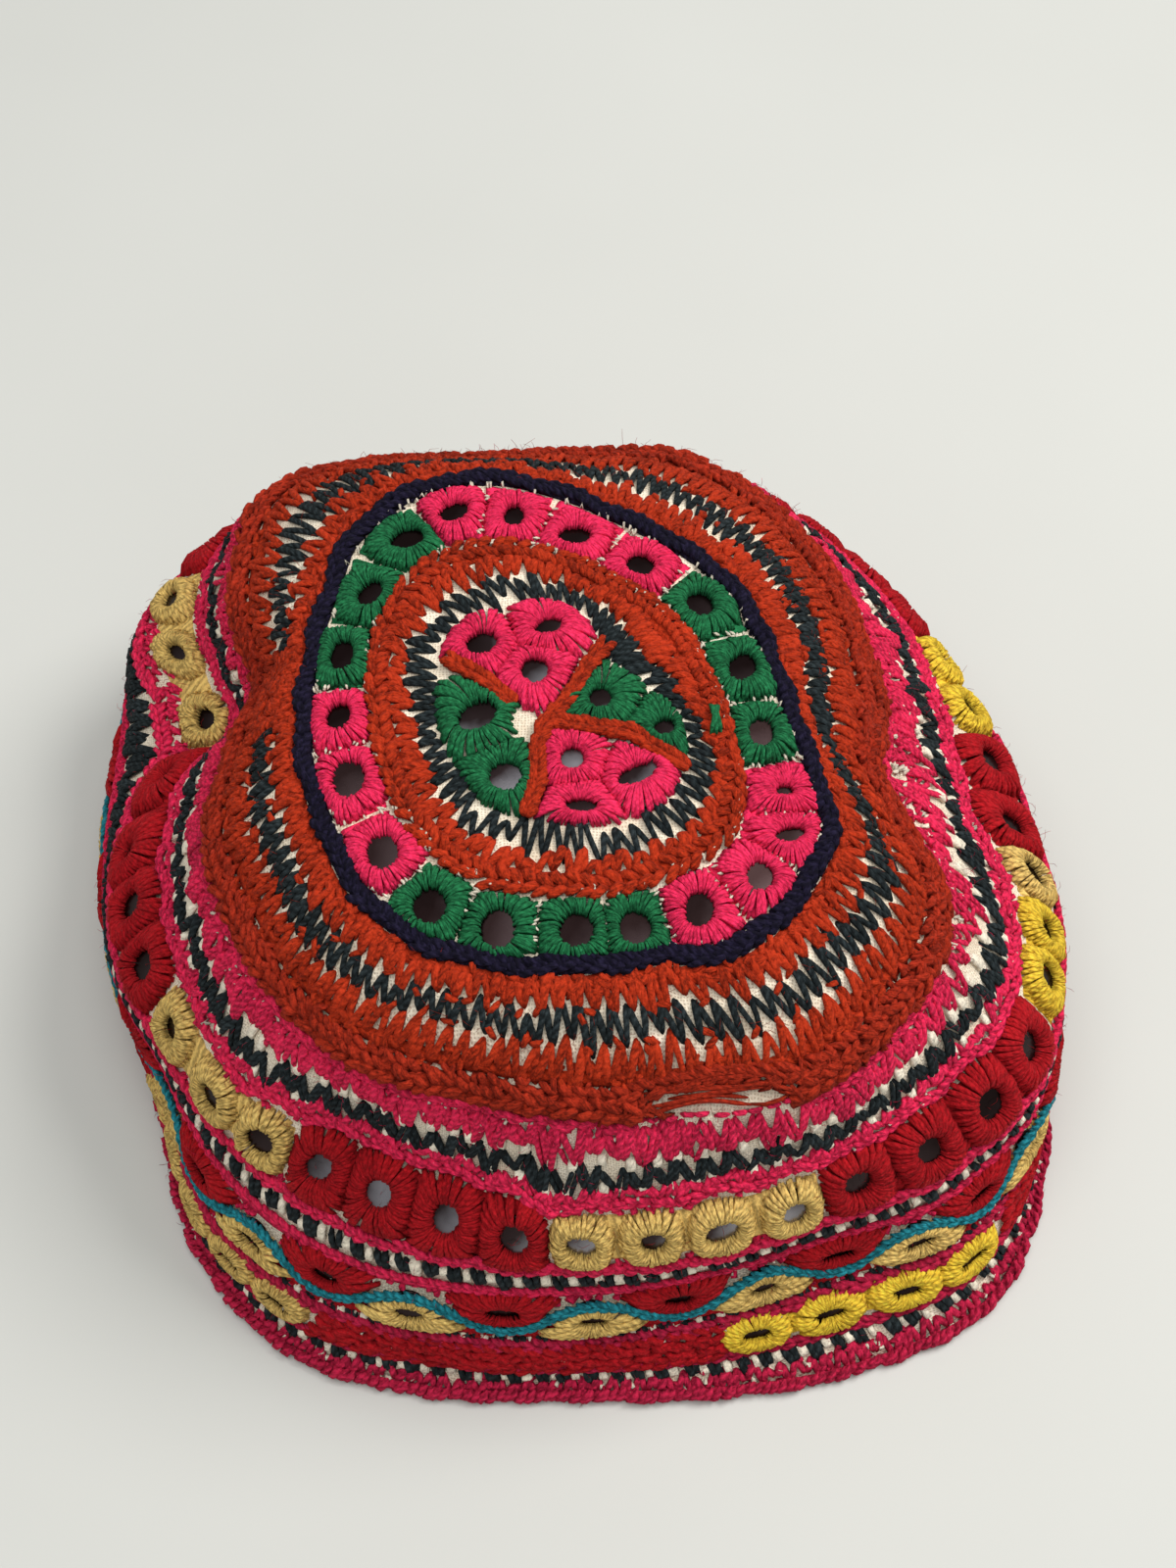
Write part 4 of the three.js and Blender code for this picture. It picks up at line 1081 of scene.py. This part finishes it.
def soft_min(a, cap, p=5.0):
    return (a**-p + cap**-p) ** (-1 / p)


def band_embroidery():
    L = lambda v: (lambda a: 1 + v + 0 * np.asarray(a, float))
    pick = {"red": yarn("band_red_eyelets", "red", 4), "tan": yarn("band_tan_eyelets", "tan", 4), "yellow": yarn("band_yellow_eyelets", "yellow", 4)}
    gap = near_gap(UPPER)
    left_dent = lambda a: bump01(((np.asarray(a, float) % 360) - 166.0) / 26.0)

    # rows from the crown edge down, wandering a little and dipping between two groups of mirrors
    wob = lambda a: (0.006 * np.sin(np.radians(13 * np.asarray(a, float)) + 1.0) + 0.005 * np.sin(np.radians(31 * np.asarray(a, float)))
                     + 0.036 * bump01((np.asarray(a, float) % 360 - 267) / 6.5))
    W = lambda v, g=0.0: (lambda a: 1 + v + wob(a) * min(1.0, v / 0.12) + g * gap(a))
    p1 = yarn("band_pink_upper", "pink")
    worn = lambda a: bump01(((np.asarray(a, float) % 360) - 331.0) / 11.0)
    frayed = lambda a: (bump01(((np.asarray(a, float) % 360) - 289.0) / 16.0) < 0.3) & (worn(a) < 0.25)
    drawn = lambda v: (lambda a: 1 + v - 0.95 * drawn_in(a))
    plait(p1, drawn(0.022), 2.2, 2.0, 1.25, 1.0, rise=0.6, wander=0.2, jitter=0.16, keep=frayed)
    pulled = lambda a: drawn_in(a) > 0.012
    zigzag(p1, lambda a: 1.026 - 0.3 * drawn_in(a), W(0.144), 3.9, 1.05, 0.95, rise=0.75, jitter=0.15, double=1.0,
           keep=lambda a: (worn(a) < 0.25) & ~pulled(a))
    zigzag(p1, lambda a: 1.020 - 0.6 * drawn_in(a), W(0.144), 3.6, 1.0, 0.9, rise=0.75, jitter=0.22, skew=0.25,
           keep=lambda a: (worn(a) >= 0.25) | pulled(a))
    zigzag(p1, L(0.030), W(0.108), 3.4, 1.15, 0.95, rise=0.7, jitter=0.18, skew=0.4, keep=lambda a: worn(a) < 0.25)
    seeds(p1, L(0.00), L(0.09), 900, 3.2, 0.7, 0.6, rise=0.8, keep=lambda a: worn(a) >= 0.25)
    seeds(p1, L(0.02), L(0.08), 420, 2.3, 1.0, 0.9, rise=0.7, keep=frayed)
    seeds(p1, drawn(0.02), L(0.05), 1300, 2.3, 0.85, 0.8, rise=0.6, keep=pulled)
    b1 = yarn("band_black_zigzag", "black")
    zigzag(b1, W(0.134), W(0.222), 4.1, 1.0, 0.9, rise=0.7, skew=0.12, jitter=0.15, double=0.85)
    p2 = yarn("band_pink_second", "pink")
    zigzag(p2, W(0.202, 0.004), W(0.248, 0.010), 3.4, 1.0, 0.95, rise=0.65, jitter=0.18, double=0.9)
    plait(p2, W(0.250, 0.016), 2.1, 1.8, 1.15, 1.0, rise=0.8, wander=0.15)
    cream = yarn("cream_flecks", "cream", 4)
    satin(cream, W(0.100), W(0.154), 4.1, 1.8, 0.9, rise=0.5, jitter=0.18)
    satin(cream, W(0.186), W(0.230), 4.1, 1.6, 0.9, rise=0.5, jitter=0.18)
    seeds(cream, drawn(0.03), L(0.09), 520, 1.7, 0.9, 0.6, rise=0.85, keep=pulled)
    seeds(cream, L(0.03), L(0.11), 150, 1.1, 0.6, 0.5, rise=0.9)
    seeds(cream, W(0.23), W(0.26), 100, 1.0, 0.5, 0.5, rise=1.0)
    # a line of pink running stitches over the bare cloth, where the edge has frayed
    t = np.linspace(0, 1, 5)
    for q in range(11):
        a0 = 278.0 + q * 2.1 + rng.normal(0, 0.2)
        lv = 0.996 + 0.006 * np.sin(q * 1.3) + rng.normal(0, 0.002)
        lay(p1, (a0 + 1.9 * t)[None], (lv + rng.normal(0, 0.002) * t)[None], (0.1 + 0.5 * np.sin(np.pi * t))[None], 0.45, 0.42)

    # upper row of mirrors
    order = sorted(a % 360 for a in UPPER)
    for i, az in enumerate(order):
        col = upper_colour(az)
        chart, per_deg, per_level = band_chart(az, UPPER_LEVEL)
        left = ((az - order[i - 1]) % 360) * per_deg / 2
        right = ((order[(i + 1) % len(order)] - az) % 360) * per_deg / 2
        top, bottom = (UPPER_LEVEL - 1.262 - float(wob(az))) * per_level, (1.484 - 0.028 * float(left_dent(az)) - UPPER_LEVEL) * per_level
        same_l = upper_colour(order[i - 1]) == col
        same_r = upper_colour(order[(i + 1) % len(order)]) == col
        box = [(-left + (0 if same_l else 0.2), -bottom), (right - (0 if same_r else 0.2), -bottom),
               (right - (0 if same_r else 0.2), top), (-left + (0 if same_l else 0.2), top)]
        segs = segments(box, True)
        c = np.array([rng.uniform(-0.4, 0.4), rng.uniform(-1.0, 1.0)])
        if col == "red":
            a, b = rng.uniform(2.1, 2.6), rng.uniform(2.4, 3.0)
        else:
            a, b = rng.uniform(2.0, 3.0), rng.uniform(1.8, 2.7)
        if 170 < az < 190:
            a, b = 1.6, 1.3
        limit = lambda d, c=c, segs=segs, col=col: soft_min(ray_limit(c, d, segs), 9.5, 5.0) if col == "red" else soft_min(ray_limit(c, d, segs), 6.9, 3.2)
        eyelet(pick[col], chart, c, (a, b), rng.uniform(-0.5, 0.5), limit, n=47, puff=2.45, fine=False)

    for lo, hi, c in ((169.6, 206.7, "red"), (206.7, 234.4, "tan"), (234.4, 267.3, "red"), (267.3, 300.5, "tan"), (300.5, 334.4, "red"),
                      (334.4, 348.1, "yellow"), (348.1, 355, "tan"), (355, 373, "red"), (373, 391, "yellow"), (391, 434, "red"),
                      (434, 468, "tan"), (468, 503, "red"), (503, 529.6, "tan")):
        underlay(pick[c], L(0.372), 14.0 if c == "red" else 11.0, -0.2, 0.6, az0=lo + 0.7, az1=hi - 0.7, tint=0.35)

    p3 = yarn("band_pink_third", "pink", 4)
    rise_ = lambda v, amp: (lambda a: 1 + v - amp * gap(a) - 0.028 * left_dent(a))
    plait(p3, rise_(0.487, 0.012), 2.1, 1.7, 1.2, 1.0, rise=0.8)
    b2 = yarn("band_small_checks", "black", 4)
    checks(b2, cream, lambda a: 1.500 - 0.028 * left_dent(a), lambda a: 1.578 + 0 * a, 4.3, 1.25, 1.0, rise=0.8, jitter=0.2,
           slant=0.45, keep=lambda a: (a < 143) | (a > 196))
    zigzag(b2, lambda a: 1.498 - 0.028 * left_dent(a), L(0.562), 3.4, 1.0, 0.9, rise=0.85, jitter=0.14, az0=143, az1=196, double=0.85)
    underlay(p3, L(0.576), 2.4, 0.1, 0.5, tint=0.4, az0=145, az1=195)
    seeds(p3, L(0.560), L(0.590), 130, 2.3, 1.1, 0.9, rise=0.7, az0=145, az1=195)
    plait(p3, L(0.592), 2.1, 1.5, 1.15, 0.9, rise=0.7)
    underlay(p3, L(0.608), 2.6, 0.0, 0.45, tint=0.35)

    pale = lambda a: np.array([upper_colour(float(q)) != "red" for q in np.atleast_1d(np.asarray(a, float) % 360.0)])
    seeds(p2, W(0.256), W(0.290), 430, 2.4, 1.05, 0.85, rise=0.7, keep=pale)
    seeds(p3, lambda a: 1.452 - 0.028 * left_dent(a), lambda a: 1.482 - 0.028 * left_dent(a), 430, 2.4, 1.05, 0.85, rise=0.7, keep=pale)
    seeds(p2, W(0.256), W(0.275), 110, 2.0, 1.0, 0.85, rise=0.7)
    underlay(p2, W(0.276), 2.8, 0.0, 0.5, tint=0.35, az0=140, az1=171)
    seeds(p2, W(0.250), W(0.296), 110, 2.2, 1.0, 0.85, rise=0.8, az0=141, az1=171)
    seeds(p3, lambda a: 1.430 - 0.028 * left_dent(a), lambda a: 1.486 - 0.028 * left_dent(a), 170, 2.2, 1.0, 0.85, rise=0.7, az0=140, az1=182)

    # lens row with the teal wave
    lens = sorted(a % 360 for a in LENS)
    first = min(range(len(lens)), key=lambda i: abs(lens[i] - 272.4))
    ks = np.arange(-1, len(lens) + 1)
    xs = np.array([lens[-1] - 360] + lens + [lens[0] + 360])
    phase = lambda a: np.interp(np.asarray(a, float) % 360.0, xs, (ks - first) * np.pi)
    wave = lambda a: 1.682 - 0.034 * np.cos(phase(a))
    teal = yarn("teal_wave", "teal")
    plait(teal, wave, 1.7, 1.5, 0.95, 0.9, rise=1.5, jitter=0.06, lean=1.7)
    for i, az0 in enumerate(lens):
        tan = (i - first) % 2 == 0
        col = "tan" if tan else "red"
        chart, per_deg, per_level = band_chart(az0, LENS_LEVEL)
        lo = (az0 - lens[i - 1]) % 360
        hi = (lens[(i + 1) % len(lens)] - az0) % 360
        a = np.linspace(-lo * 0.92, hi * 0.92, 19)
        wl = wave(az0 + a)
        if tan:
            near, far = wl + 0.011, np.full_like(a, 1.757)
        else:
            near, far = wl - 0.011, np.full_like(a, 1.597)
        pts = [(x * per_deg, (LENS_LEVEL - y) * per_level) for x, y in zip(a, near)]
        pts += [(x * per_deg, (LENS_LEVEL - y) * per_level) for x, y in zip(a[::-1], far[::-1])]
        segs = segments(pts, True)
        cy = ((LENS_LEVEL - (wl[9] * 0.56 + far[9] * 0.44)) * per_level)
        c = np.array([(hi - lo) * 0.5 * per_deg * 0.5, cy])
        limit = lambda d, c=c, segs=segs: soft_min(ray_limit(c, d, segs), 9.6)
        eyelet(pick[col], chart, c, (rng.uniform(2.2, 3.0), rng.uniform(1.0, 1.35)), 0.0, limit, n=36, puff=2.1, fine=False)
    seeds(p3, L(0.594), lambda a: np.maximum(wave(a) - 0.012, 1.60), 780, 2.38, 1.35, 0.85, rise=0.45, keep=lambda a: np.cos(phase(a)) > -0.35)
    crim = yarn("lower_crimson_braid", "red", 4)
    seeds(crim, lambda a: np.minimum(wave(a) + 0.012, 1.765), L(0.768), 700, 2.38, 1.35, 0.85, rise=0.4, keep=lambda a: np.cos(phase(a)) < 0.35)
    underlay(crim, L(0.748), 2.4, 0.0, 0.45, tint=0.35)

    p4 = yarn("band_pink_fourth", "rimpink", 4)
    b3 = yarn("band_small_checks_lower", "black", 4)
    checks(b3, cream, L(0.754), L(0.788), 4.0, 1.0, 0.85, rise=0.5, jitter=0.16)
    seeds(p4, L(0.750), L(0.784), 380, 2.0, 0.95, 0.8, rise=0.45)
    plait(p4, L(0.793), 2.2, 2.5, 1.4, 1.1, rise=0.7)

    # lower row
    groups = [(a, "tan", 3.55) for a in LOWER_TAN] + [(a, "yellow", 4.05) for a in LOWER_YELLOW]
    for az0, col, half_az in groups:
        chart, per_deg, per_level = band_chart(az0, LOWER_LEVEL)
        half = half_az * per_deg
        h = 0.052 * per_level
        lens_shape = [(math.copysign(abs(math.cos(q)) ** 0.8, math.cos(q)) * half * 1.02, math.sin(q) * h) for q in np.linspace(0, 2 * np.pi, 25)[:-1]]
        lens_shape = [(x, y - 0.009 * per_level) for x, y in lens_shape]
        segs = segments(lens_shape, True)
        c = np.array([0.0, -0.009 * per_level])
        limit = lambda d, c=c, segs=segs: soft_min(ray_limit(c, d, segs), 9.0)
        eyelet(pick[col], chart, c, (rng.uniform(2.2, 2.9), rng.uniform(0.8, 1.1)), rng.uniform(-0.12, 0.12), limit, n=40, puff=2.0, fine=False)
    for lo, hi, c in ((205.2, 240.7, "tan"), (287.0, 318.6, "yellow")):
        underlay(pick[c], L(0.848), 4.6, -0.1, 0.6, az0=lo, az1=hi, tint=0.3)
        seeds(crim, L(0.80), L(0.818), 60, 2.2, 1.1, 0.9, rise=0.4, az0=lo, az1=hi)
    # between them a plain crimson braid of the same height
    plain = lambda a: ~(((a > 204.5) & (a < 241)) | ((a > 286.3) & (a < 319)))
    for v, w in ((0.820, 3.0), (0.850, 3.0), (0.876, 2.6)):
        plait(crim, L(v), 2.5, w, 1.4, 1.15, rise=0.9, keep=plain, jitter=0.16, wander=0.2)
    seeds(cream, L(0.79), L(0.87), 120, 1.0, 0.55, 0.45, rise=1.1)
    seeds(cream, L(0.60), L(0.76), 160, 1.0, 0.55, 0.45, rise=0.7)

    b4 = yarn("band_rim_checks", "black", 4)
    checks(b4, cream, L(0.899), L(0.950), 4.1, 1.3, 0.95, rise=0.7, jitter=0.16)
    p5 = yarn("rim_edging", "rimpink", 4)
    zigzag(p5, L(0.936), L(0.988), 2.3, 1.3, 1.0, rise=0.6, jitter=0.18)
    seeds(p5, L(0.930), L(0.985), 300, 2.2, 1.1, 0.9, rise=0.7)
    seeds(cream, L(0.945), L(0.985), 150, 1.5, 1.0, 0.6, rise=1.0)
    plait(p5, L(0.895), 2.2, 1.5, 1.05, 0.9, rise=0.6)
    satin_edge(p5)


def satin_edge(piece):
    """Whipped edge: fat slanting stitches over a cord, in shallow scallops."""
    n = 440
    az = (np.arange(n) + 0.5) * 360 / n + rng.normal(0, 0.2, n)
    P0, N0 = surf(az, np.full(n, 1.998))
    N0[:, 2] = 0
    N0 /= np.linalg.norm(N0, axis=-1, keepdims=True)
    T = np.cross((0, 0, 1.0), N0)
    scallop = 0.25 * np.sin(np.radians(az) * 61 + 2 * np.sin(np.radians(az) * 7))
    path = np.array([[0.0, 3.0], [0.8, 2.7], [1.25, 1.9], [1.2, 1.1], [0.4, 0.62], [-1.2, 0.7]])
    t = np.linspace(0, 1, 6)
    P = np.zeros((n, 6, 3))
    for i, (o, z) in enumerate(path):
        reach = o + scallop * (1.0 if i in (1, 2, 3) else 0.3) + rng.normal(0, 0.08, n)
        P[:, i] = P0 + N0 * reach[:, None] + T * ((0.5 - t[i]) * 2.4)
        P[:, i, 2] = z
    N = np.broadcast_to(N0[:, None], P.shape).copy()
    N[:, 0] += (0, 0, 0.7)
    N[:, 4] = N[:, 4] * 0.5 + np.array([0, 0, -1.0])
    N[:, 5] = (0, 0, -1.0)
    piece.add(P, N, 0.66 * rng.normal(1, 0.14, (n, 1)), 0.46, lump=0.12)
    a = np.linspace(0, 360, 361)
    Pc, Nc = surf(a, np.full(361, 1.998))
    Nc[:, 2] = 0
    Nc /= np.linalg.norm(Nc, axis=-1, keepdims=True)
    Pc = Pc + Nc * 0.3
    Pc[:, 2] = 1.3
    piece.add(Pc[None], Nc[None], 1.0, 0.8, tint=np.array([0.3]), taper=1.0, lump=0.05)


# ------------------------------------------------------------------ cloth panels
def panel(name, levels, node, closed_top):
    """A closed wall of cloth: outer skin on the surface, inner skin WALL inside it."""
    wall = 1.9
    n = 240
    az = np.arange(n) * 360.0 / n
    m = len(levels)
    A, Lv = np.meshgrid(az, levels, indexing="xy")
    P, N = surf(A, Lv)
    Q = P - N * wall
    if not closed_top:
        Q[-1] = P[-1] - wall * (N[-1] * (1, 1, 0)) / np.linalg.norm(N[-1] * (1, 1, 0), axis=-1, keepdims=True)
        P[-1, :, 2] = Q[-1, :, 2] = 0.05
    verts = np.concatenate([P.reshape(-1, 3), Q.reshape(-1, 3)])
    idx = np.arange(m * n).reshape(m, n)
    nx = np.roll(idx, -1, axis=1)
    o = m * n
    quads = [np.stack([idx[:-1], idx[1:], nx[1:], nx[:-1]], -1).reshape(-1, 4),
             np.stack([nx[:-1], nx[1:], idx[1:], idx[:-1]], -1).reshape(-1, 4) + o,
             np.stack([idx[-1], idx[-1] + o, nx[-1] + o, nx[-1]], -1)]
    loops = [q.reshape(-1) for q in quads]
    counts = [np.full(len(q), 4) for q in quads]
    if closed_top:
        verts = np.concatenate([verts, [[AXIS_X, AXIS_Y, APEX_Z], [AXIS_X, AXIS_Y, APEX_Z - wall]]])
        a, b = 2 * o, 2 * o + 1
        tri = np.concatenate([np.stack([np.full(n, a), idx[0], nx[0]], -1), np.stack([np.full(n, b), nx[0] + o, idx[0] + o], -1)])
        loops.append(tri.reshape(-1))
        counts.append(np.full(len(tri), 3))
    else:
        q = np.stack([idx[0] + o, idx[0], nx[0], nx[0] + o], -1)
        loops.append(q.reshape(-1))
        counts.append(np.full(len(q), 4))
    loops = np.concatenate(loops)
    if closed_top:
        uv = verts[loops][:, :2]
    else:
        # arc length round the band and length down it, carried on past the join so that no face wraps back
        d = np.concatenate([np.zeros((1, n)), np.cumsum(np.linalg.norm(np.diff(P, axis=0), axis=-1), 0)])
        u_v = np.broadcast_to(np.radians(az) * 84.0, (m, n))
        U = np.concatenate([u_v.reshape(-1), u_v.reshape(-1)])
        V = np.concatenate([d.reshape(-1), d.reshape(-1)])
        uv = np.stack([U[loops], V[loops]], -1)
        f = uv[:, 0].reshape(-1, 4)
        wide = f.max(1) - f.min(1) > 100
        f[wide] = np.where(f[wide] < 100, f[wide] + 2 * np.pi * 84.0, f[wide])
        uv[:, 0] = f.reshape(-1)
    ob = make_object(name, verts, loops, np.concatenate(counts), uv, "weave", None, True, CLOTH)
    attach(ob, "root")
    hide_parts(node)
    return ob


def mirrors():
    """One disc of old mirror glass under every eyelet, slightly uneven, each tinted with a painted reflection that
    grades from dark to light across it.
    """
    verts, loops, counts, tints = [], [], [], []
    base = 0

    def disc(az, level, r, lift=0.25, thick=0.6, glass_and_reflection_tone=0.5):
        nonlocal base
        P, N = surf(np.array(az), np.array(level))
        n = N + rng.normal(0, 0.035, 3)
        n /= np.linalg.norm(n)
        t = np.cross(n, (0, 0, 1.0)) if abs(n[2]) < 0.9 else np.cross(n, (0, 1.0, 0))
        t /= np.linalg.norm(t)
        s = np.cross(n, t)
        k = 18
        th = np.arange(k) * 2 * np.pi / k
        # painted reflection: the tint grades from dark to light across the disc along the glint direction
        turn = rng.uniform(-0.9, 0.9)
        glint = np.array([math.cos(-0.9 + turn), math.sin(-0.9 + turn), 0.0])
        for rr, h in ((r - 0.15, lift), (r, lift + 0.12), (r, lift + thick - 0.12), (r - 0.15, lift + thick)):
            verts.append(P + n * h + t * (rr * np.cos(th))[:, None] + s * (rr * np.sin(th))[:, None])
        idx = base + np.arange(4 * k).reshape(4, k)
        nx = np.roll(idx, -1, axis=1)
        q = np.stack([idx[:-1], nx[:-1], nx[1:], idx[1:]], -1).reshape(-1)
        loops.append(q)
        counts.append(np.full(3 * k, 4))
        loops.append(idx[0, ::-1])
        loops.append(idx[-1])
        counts.append(np.array([k, k]))
        across = (t * np.cos(th)[:, None] + s * np.sin(th)[:, None]) @ glint
        tints.append(np.tile(glass_and_reflection_tone + 0.42 * across, 4))
        base += 4 * k

    # lighter tones on the medallion and on the front of the band are painted reflection; the darker ones are the glass
    # itself
    for row in (RING_EYES, MID_EYES):
        for e in row:
            az, lv = crown_place(e[1], e[2])
            r = 3.6 if row is RING_EYES else 3.2
            disc(float(az), float(lv), max(r, e[3] + 0.7, e[4] + 0.7), glass_and_reflection_tone=rng.uniform(0.0, 0.30) if row is RING_EYES else rng.uniform(0.3, 0.75))
    for az in UPPER:
        disc(az, UPPER_LEVEL, 3.7, glass_and_reflection_tone=rng.uniform(0.35, 0.85) if 235 < az < 310 else rng.uniform(0.0, 0.35))
    for az in LENS:
        disc(az, LENS_LEVEL + 0.01, 3.0, glass_and_reflection_tone=rng.uniform(0.0, 0.3))
    for az in LOWER_TAN + LOWER_YELLOW:
        disc(az, LOWER_LEVEL + 0.015, 2.6, glass_and_reflection_tone=rng.uniform(0.0, 0.3))
    ob = make_object("mirror_discs", np.concatenate(verts), np.concatenate(loops), np.concatenate(counts), None, "", np.concatenate(tints), False, MIRROR)
    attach(ob, "root")
    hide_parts(*[n for n in NODES if "mirror" in n])
    return ob


# ------------------------------------------------------------------ loose fibres
def fuzz():
    """Stray fibres of wool and cotton standing off the stitches."""
    # piece, colour, number, levels from and to, longest fibre
    plan = [("fuzz_braid", "braid", 1300, 0.84, 1.02, 2.6), ("fuzz_orange", "orange", 900, 0.74, 0.95, 1.6), ("fuzz_pink", "pink", 900, 1.0, 1.28, 1.8),
            ("fuzz_red", "red", 900, 1.27, 1.5, 1.8), ("fuzz_rim", "rimpink", 500, 1.75, 2.0, 1.8), ("fuzz_pink_low", "pink", 500, 1.48, 1.7, 1.6)]
    for name, colour, n, lo, hi, longest in plan:
        p = yarn(name, colour, 3)
        az = rng.uniform(0, 360, n)
        lv = rng.uniform(lo, hi, n)
        k = 3
        t = np.linspace(0, 1, k)
        P0, N0 = surf(az, lv, 1.1)
        drift = rng.normal(0, 1, (n, 3))
        drift -= N0 * (drift * N0).sum(-1, keepdims=True) * 0.6
        drift /= np.linalg.norm(drift, axis=-1, keepdims=True)
        length = (rng.uniform(0.2, 1.0, n) ** 1.6 * longest + 0.6)[:, None, None]
        curl = rng.normal(0, 1, (n, 3)) * 0.5
        P = (P0[:, None] + N0[:, None] * (length * (0.55 * np.sin(t * 2.0))[None, :, None])
             + drift[:, None] * length * (t[None, :, None] * 0.85) + curl[:, None] * length * (t**2)[None, :, None] * 0.4)
        P[..., 2] = np.maximum(P[..., 2], 0.15)
        N = np.broadcast_to(N0[:, None], P.shape)
        p.add(P, N, 0.04, 0.04, tint=rng.uniform(0.5, 1.0, n), taper=0.6)


# ------------------------------------------------------------------ making it
crown_levels = np.concatenate([np.linspace(0.03, 0.9, 26), np.linspace(0.92, 0.996, 6)])
band_levels = 1 + np.concatenate([np.linspace(0.006, 0.05, 4), np.linspace(0.075, 0.975, 38), [1.0]])
panel("crown_cloth", crown_levels, "crown_panel", True)
panel("band_cloth", band_levels, "side_band", False)
mirrors()
crown_embroidery()
edge_braid()
band_embroidery()
fuzz()
for p in PIECES.values():
    ob = p.build()
    if p.name == "crown_edge_braid_stitched":
        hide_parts("crown_edge_braid")

# ------------------------------------------------------------------ floor, light and camera
def floor():
    me = bpy.data.meshes.new("floor")
    s = 3.0
    me.from_pydata([(-s, -s, 0), (s, -s, 0), (s, s, 0), (-s, s, 0)], [], [(0, 1, 2, 3)])
    ob = bpy.data.objects.new("floor", me)
    bpy.context.scene.collection.objects.link(ob)
    m, nt, b = shader("pale_table")
    co = nt.nodes.new("ShaderNodeTexCoord")
    n = nt.nodes.new("ShaderNodeTexNoise")
    n.inputs["Scale"].default_value = 6.0
    n.inputs["Detail"].default_value = 3.0
    nt.links.new(co.outputs["Object"], n.inputs["Vector"])
    r = nt.nodes.new("ShaderNodeValToRGB")
    r.color_ramp.elements[0].position, r.color_ramp.elements[0].color = 0.3, (0.545, 0.545, 0.515, 1)
    r.color_ramp.elements[1].position, r.color_ramp.elements[1].color = 0.7, (0.575, 0.575, 0.545, 1)
    nt.links.new(n.outputs["Fac"], r.inputs[0])
    nt.links.new(r.outputs[0], b.inputs["Base Color"])
    b.inputs["Roughness"].default_value = 0.6
    b.inputs["Specular IOR Level"].default_value = 0.3
    me.materials.append(m)


def area(name, loc, target, size, power, colour):
    d = bpy.data.lights.new(name, "AREA")
    d.shape = "DISK"
    d.size = size
    d.energy = power
    d.color = colour
    o = bpy.data.objects.new(name, d)
    bpy.context.scene.collection.objects.link(o)
    o.location = loc
    v = np.array(target) - np.array(loc)
    from mathutils import Vector
    o.rotation_euler = Vector(v).to_track_quat("-Z", "Y").to_euler()
    return o


floor()
area("key", (0.62, 0.24, 0.98), (0, 0, 0.03), 0.60, 9.4, (1.0, 0.985, 0.96))
area("overhead", (-0.10, -0.20, 1.3), (0, 0, 0.0), 1.0, 8.2, (0.98, 1.0, 0.99))
world = bpy.data.worlds.new("soft_room")
bpy.context.scene.world = world
world.use_nodes = True
bg = world.node_tree.nodes.get("Background") or world.node_tree.nodes.new("ShaderNodeBackground")
bg.inputs[0].default_value = (0.98, 1.0, 1.0, 1)
bg.inputs[1].default_value = 0.44
view = bpy.context.scene.view_settings
view.view_transform = "Standard"
view.look = "None"
view.exposure = 0.0

cam = bpy.data.cameras.new("camera")
cam.sensor_width = 36.0
cam.lens = 2450.0 * 36.0 / 1600.0
cam.clip_start = 0.01
cam_ob = bpy.data.objects.new("camera", cam)
bpy.context.scene.collection.objects.link(cam_ob)
cam_ob.location = ((AXIS_X - PHOTO_X) * MM, (-205.0 + AXIS_Y - PHOTO_Y) * MM, 0.405)
cam_ob.rotation_euler = (math.radians(90 - 58.8), 0, 0)
bpy.context.scene.camera = cam_ob
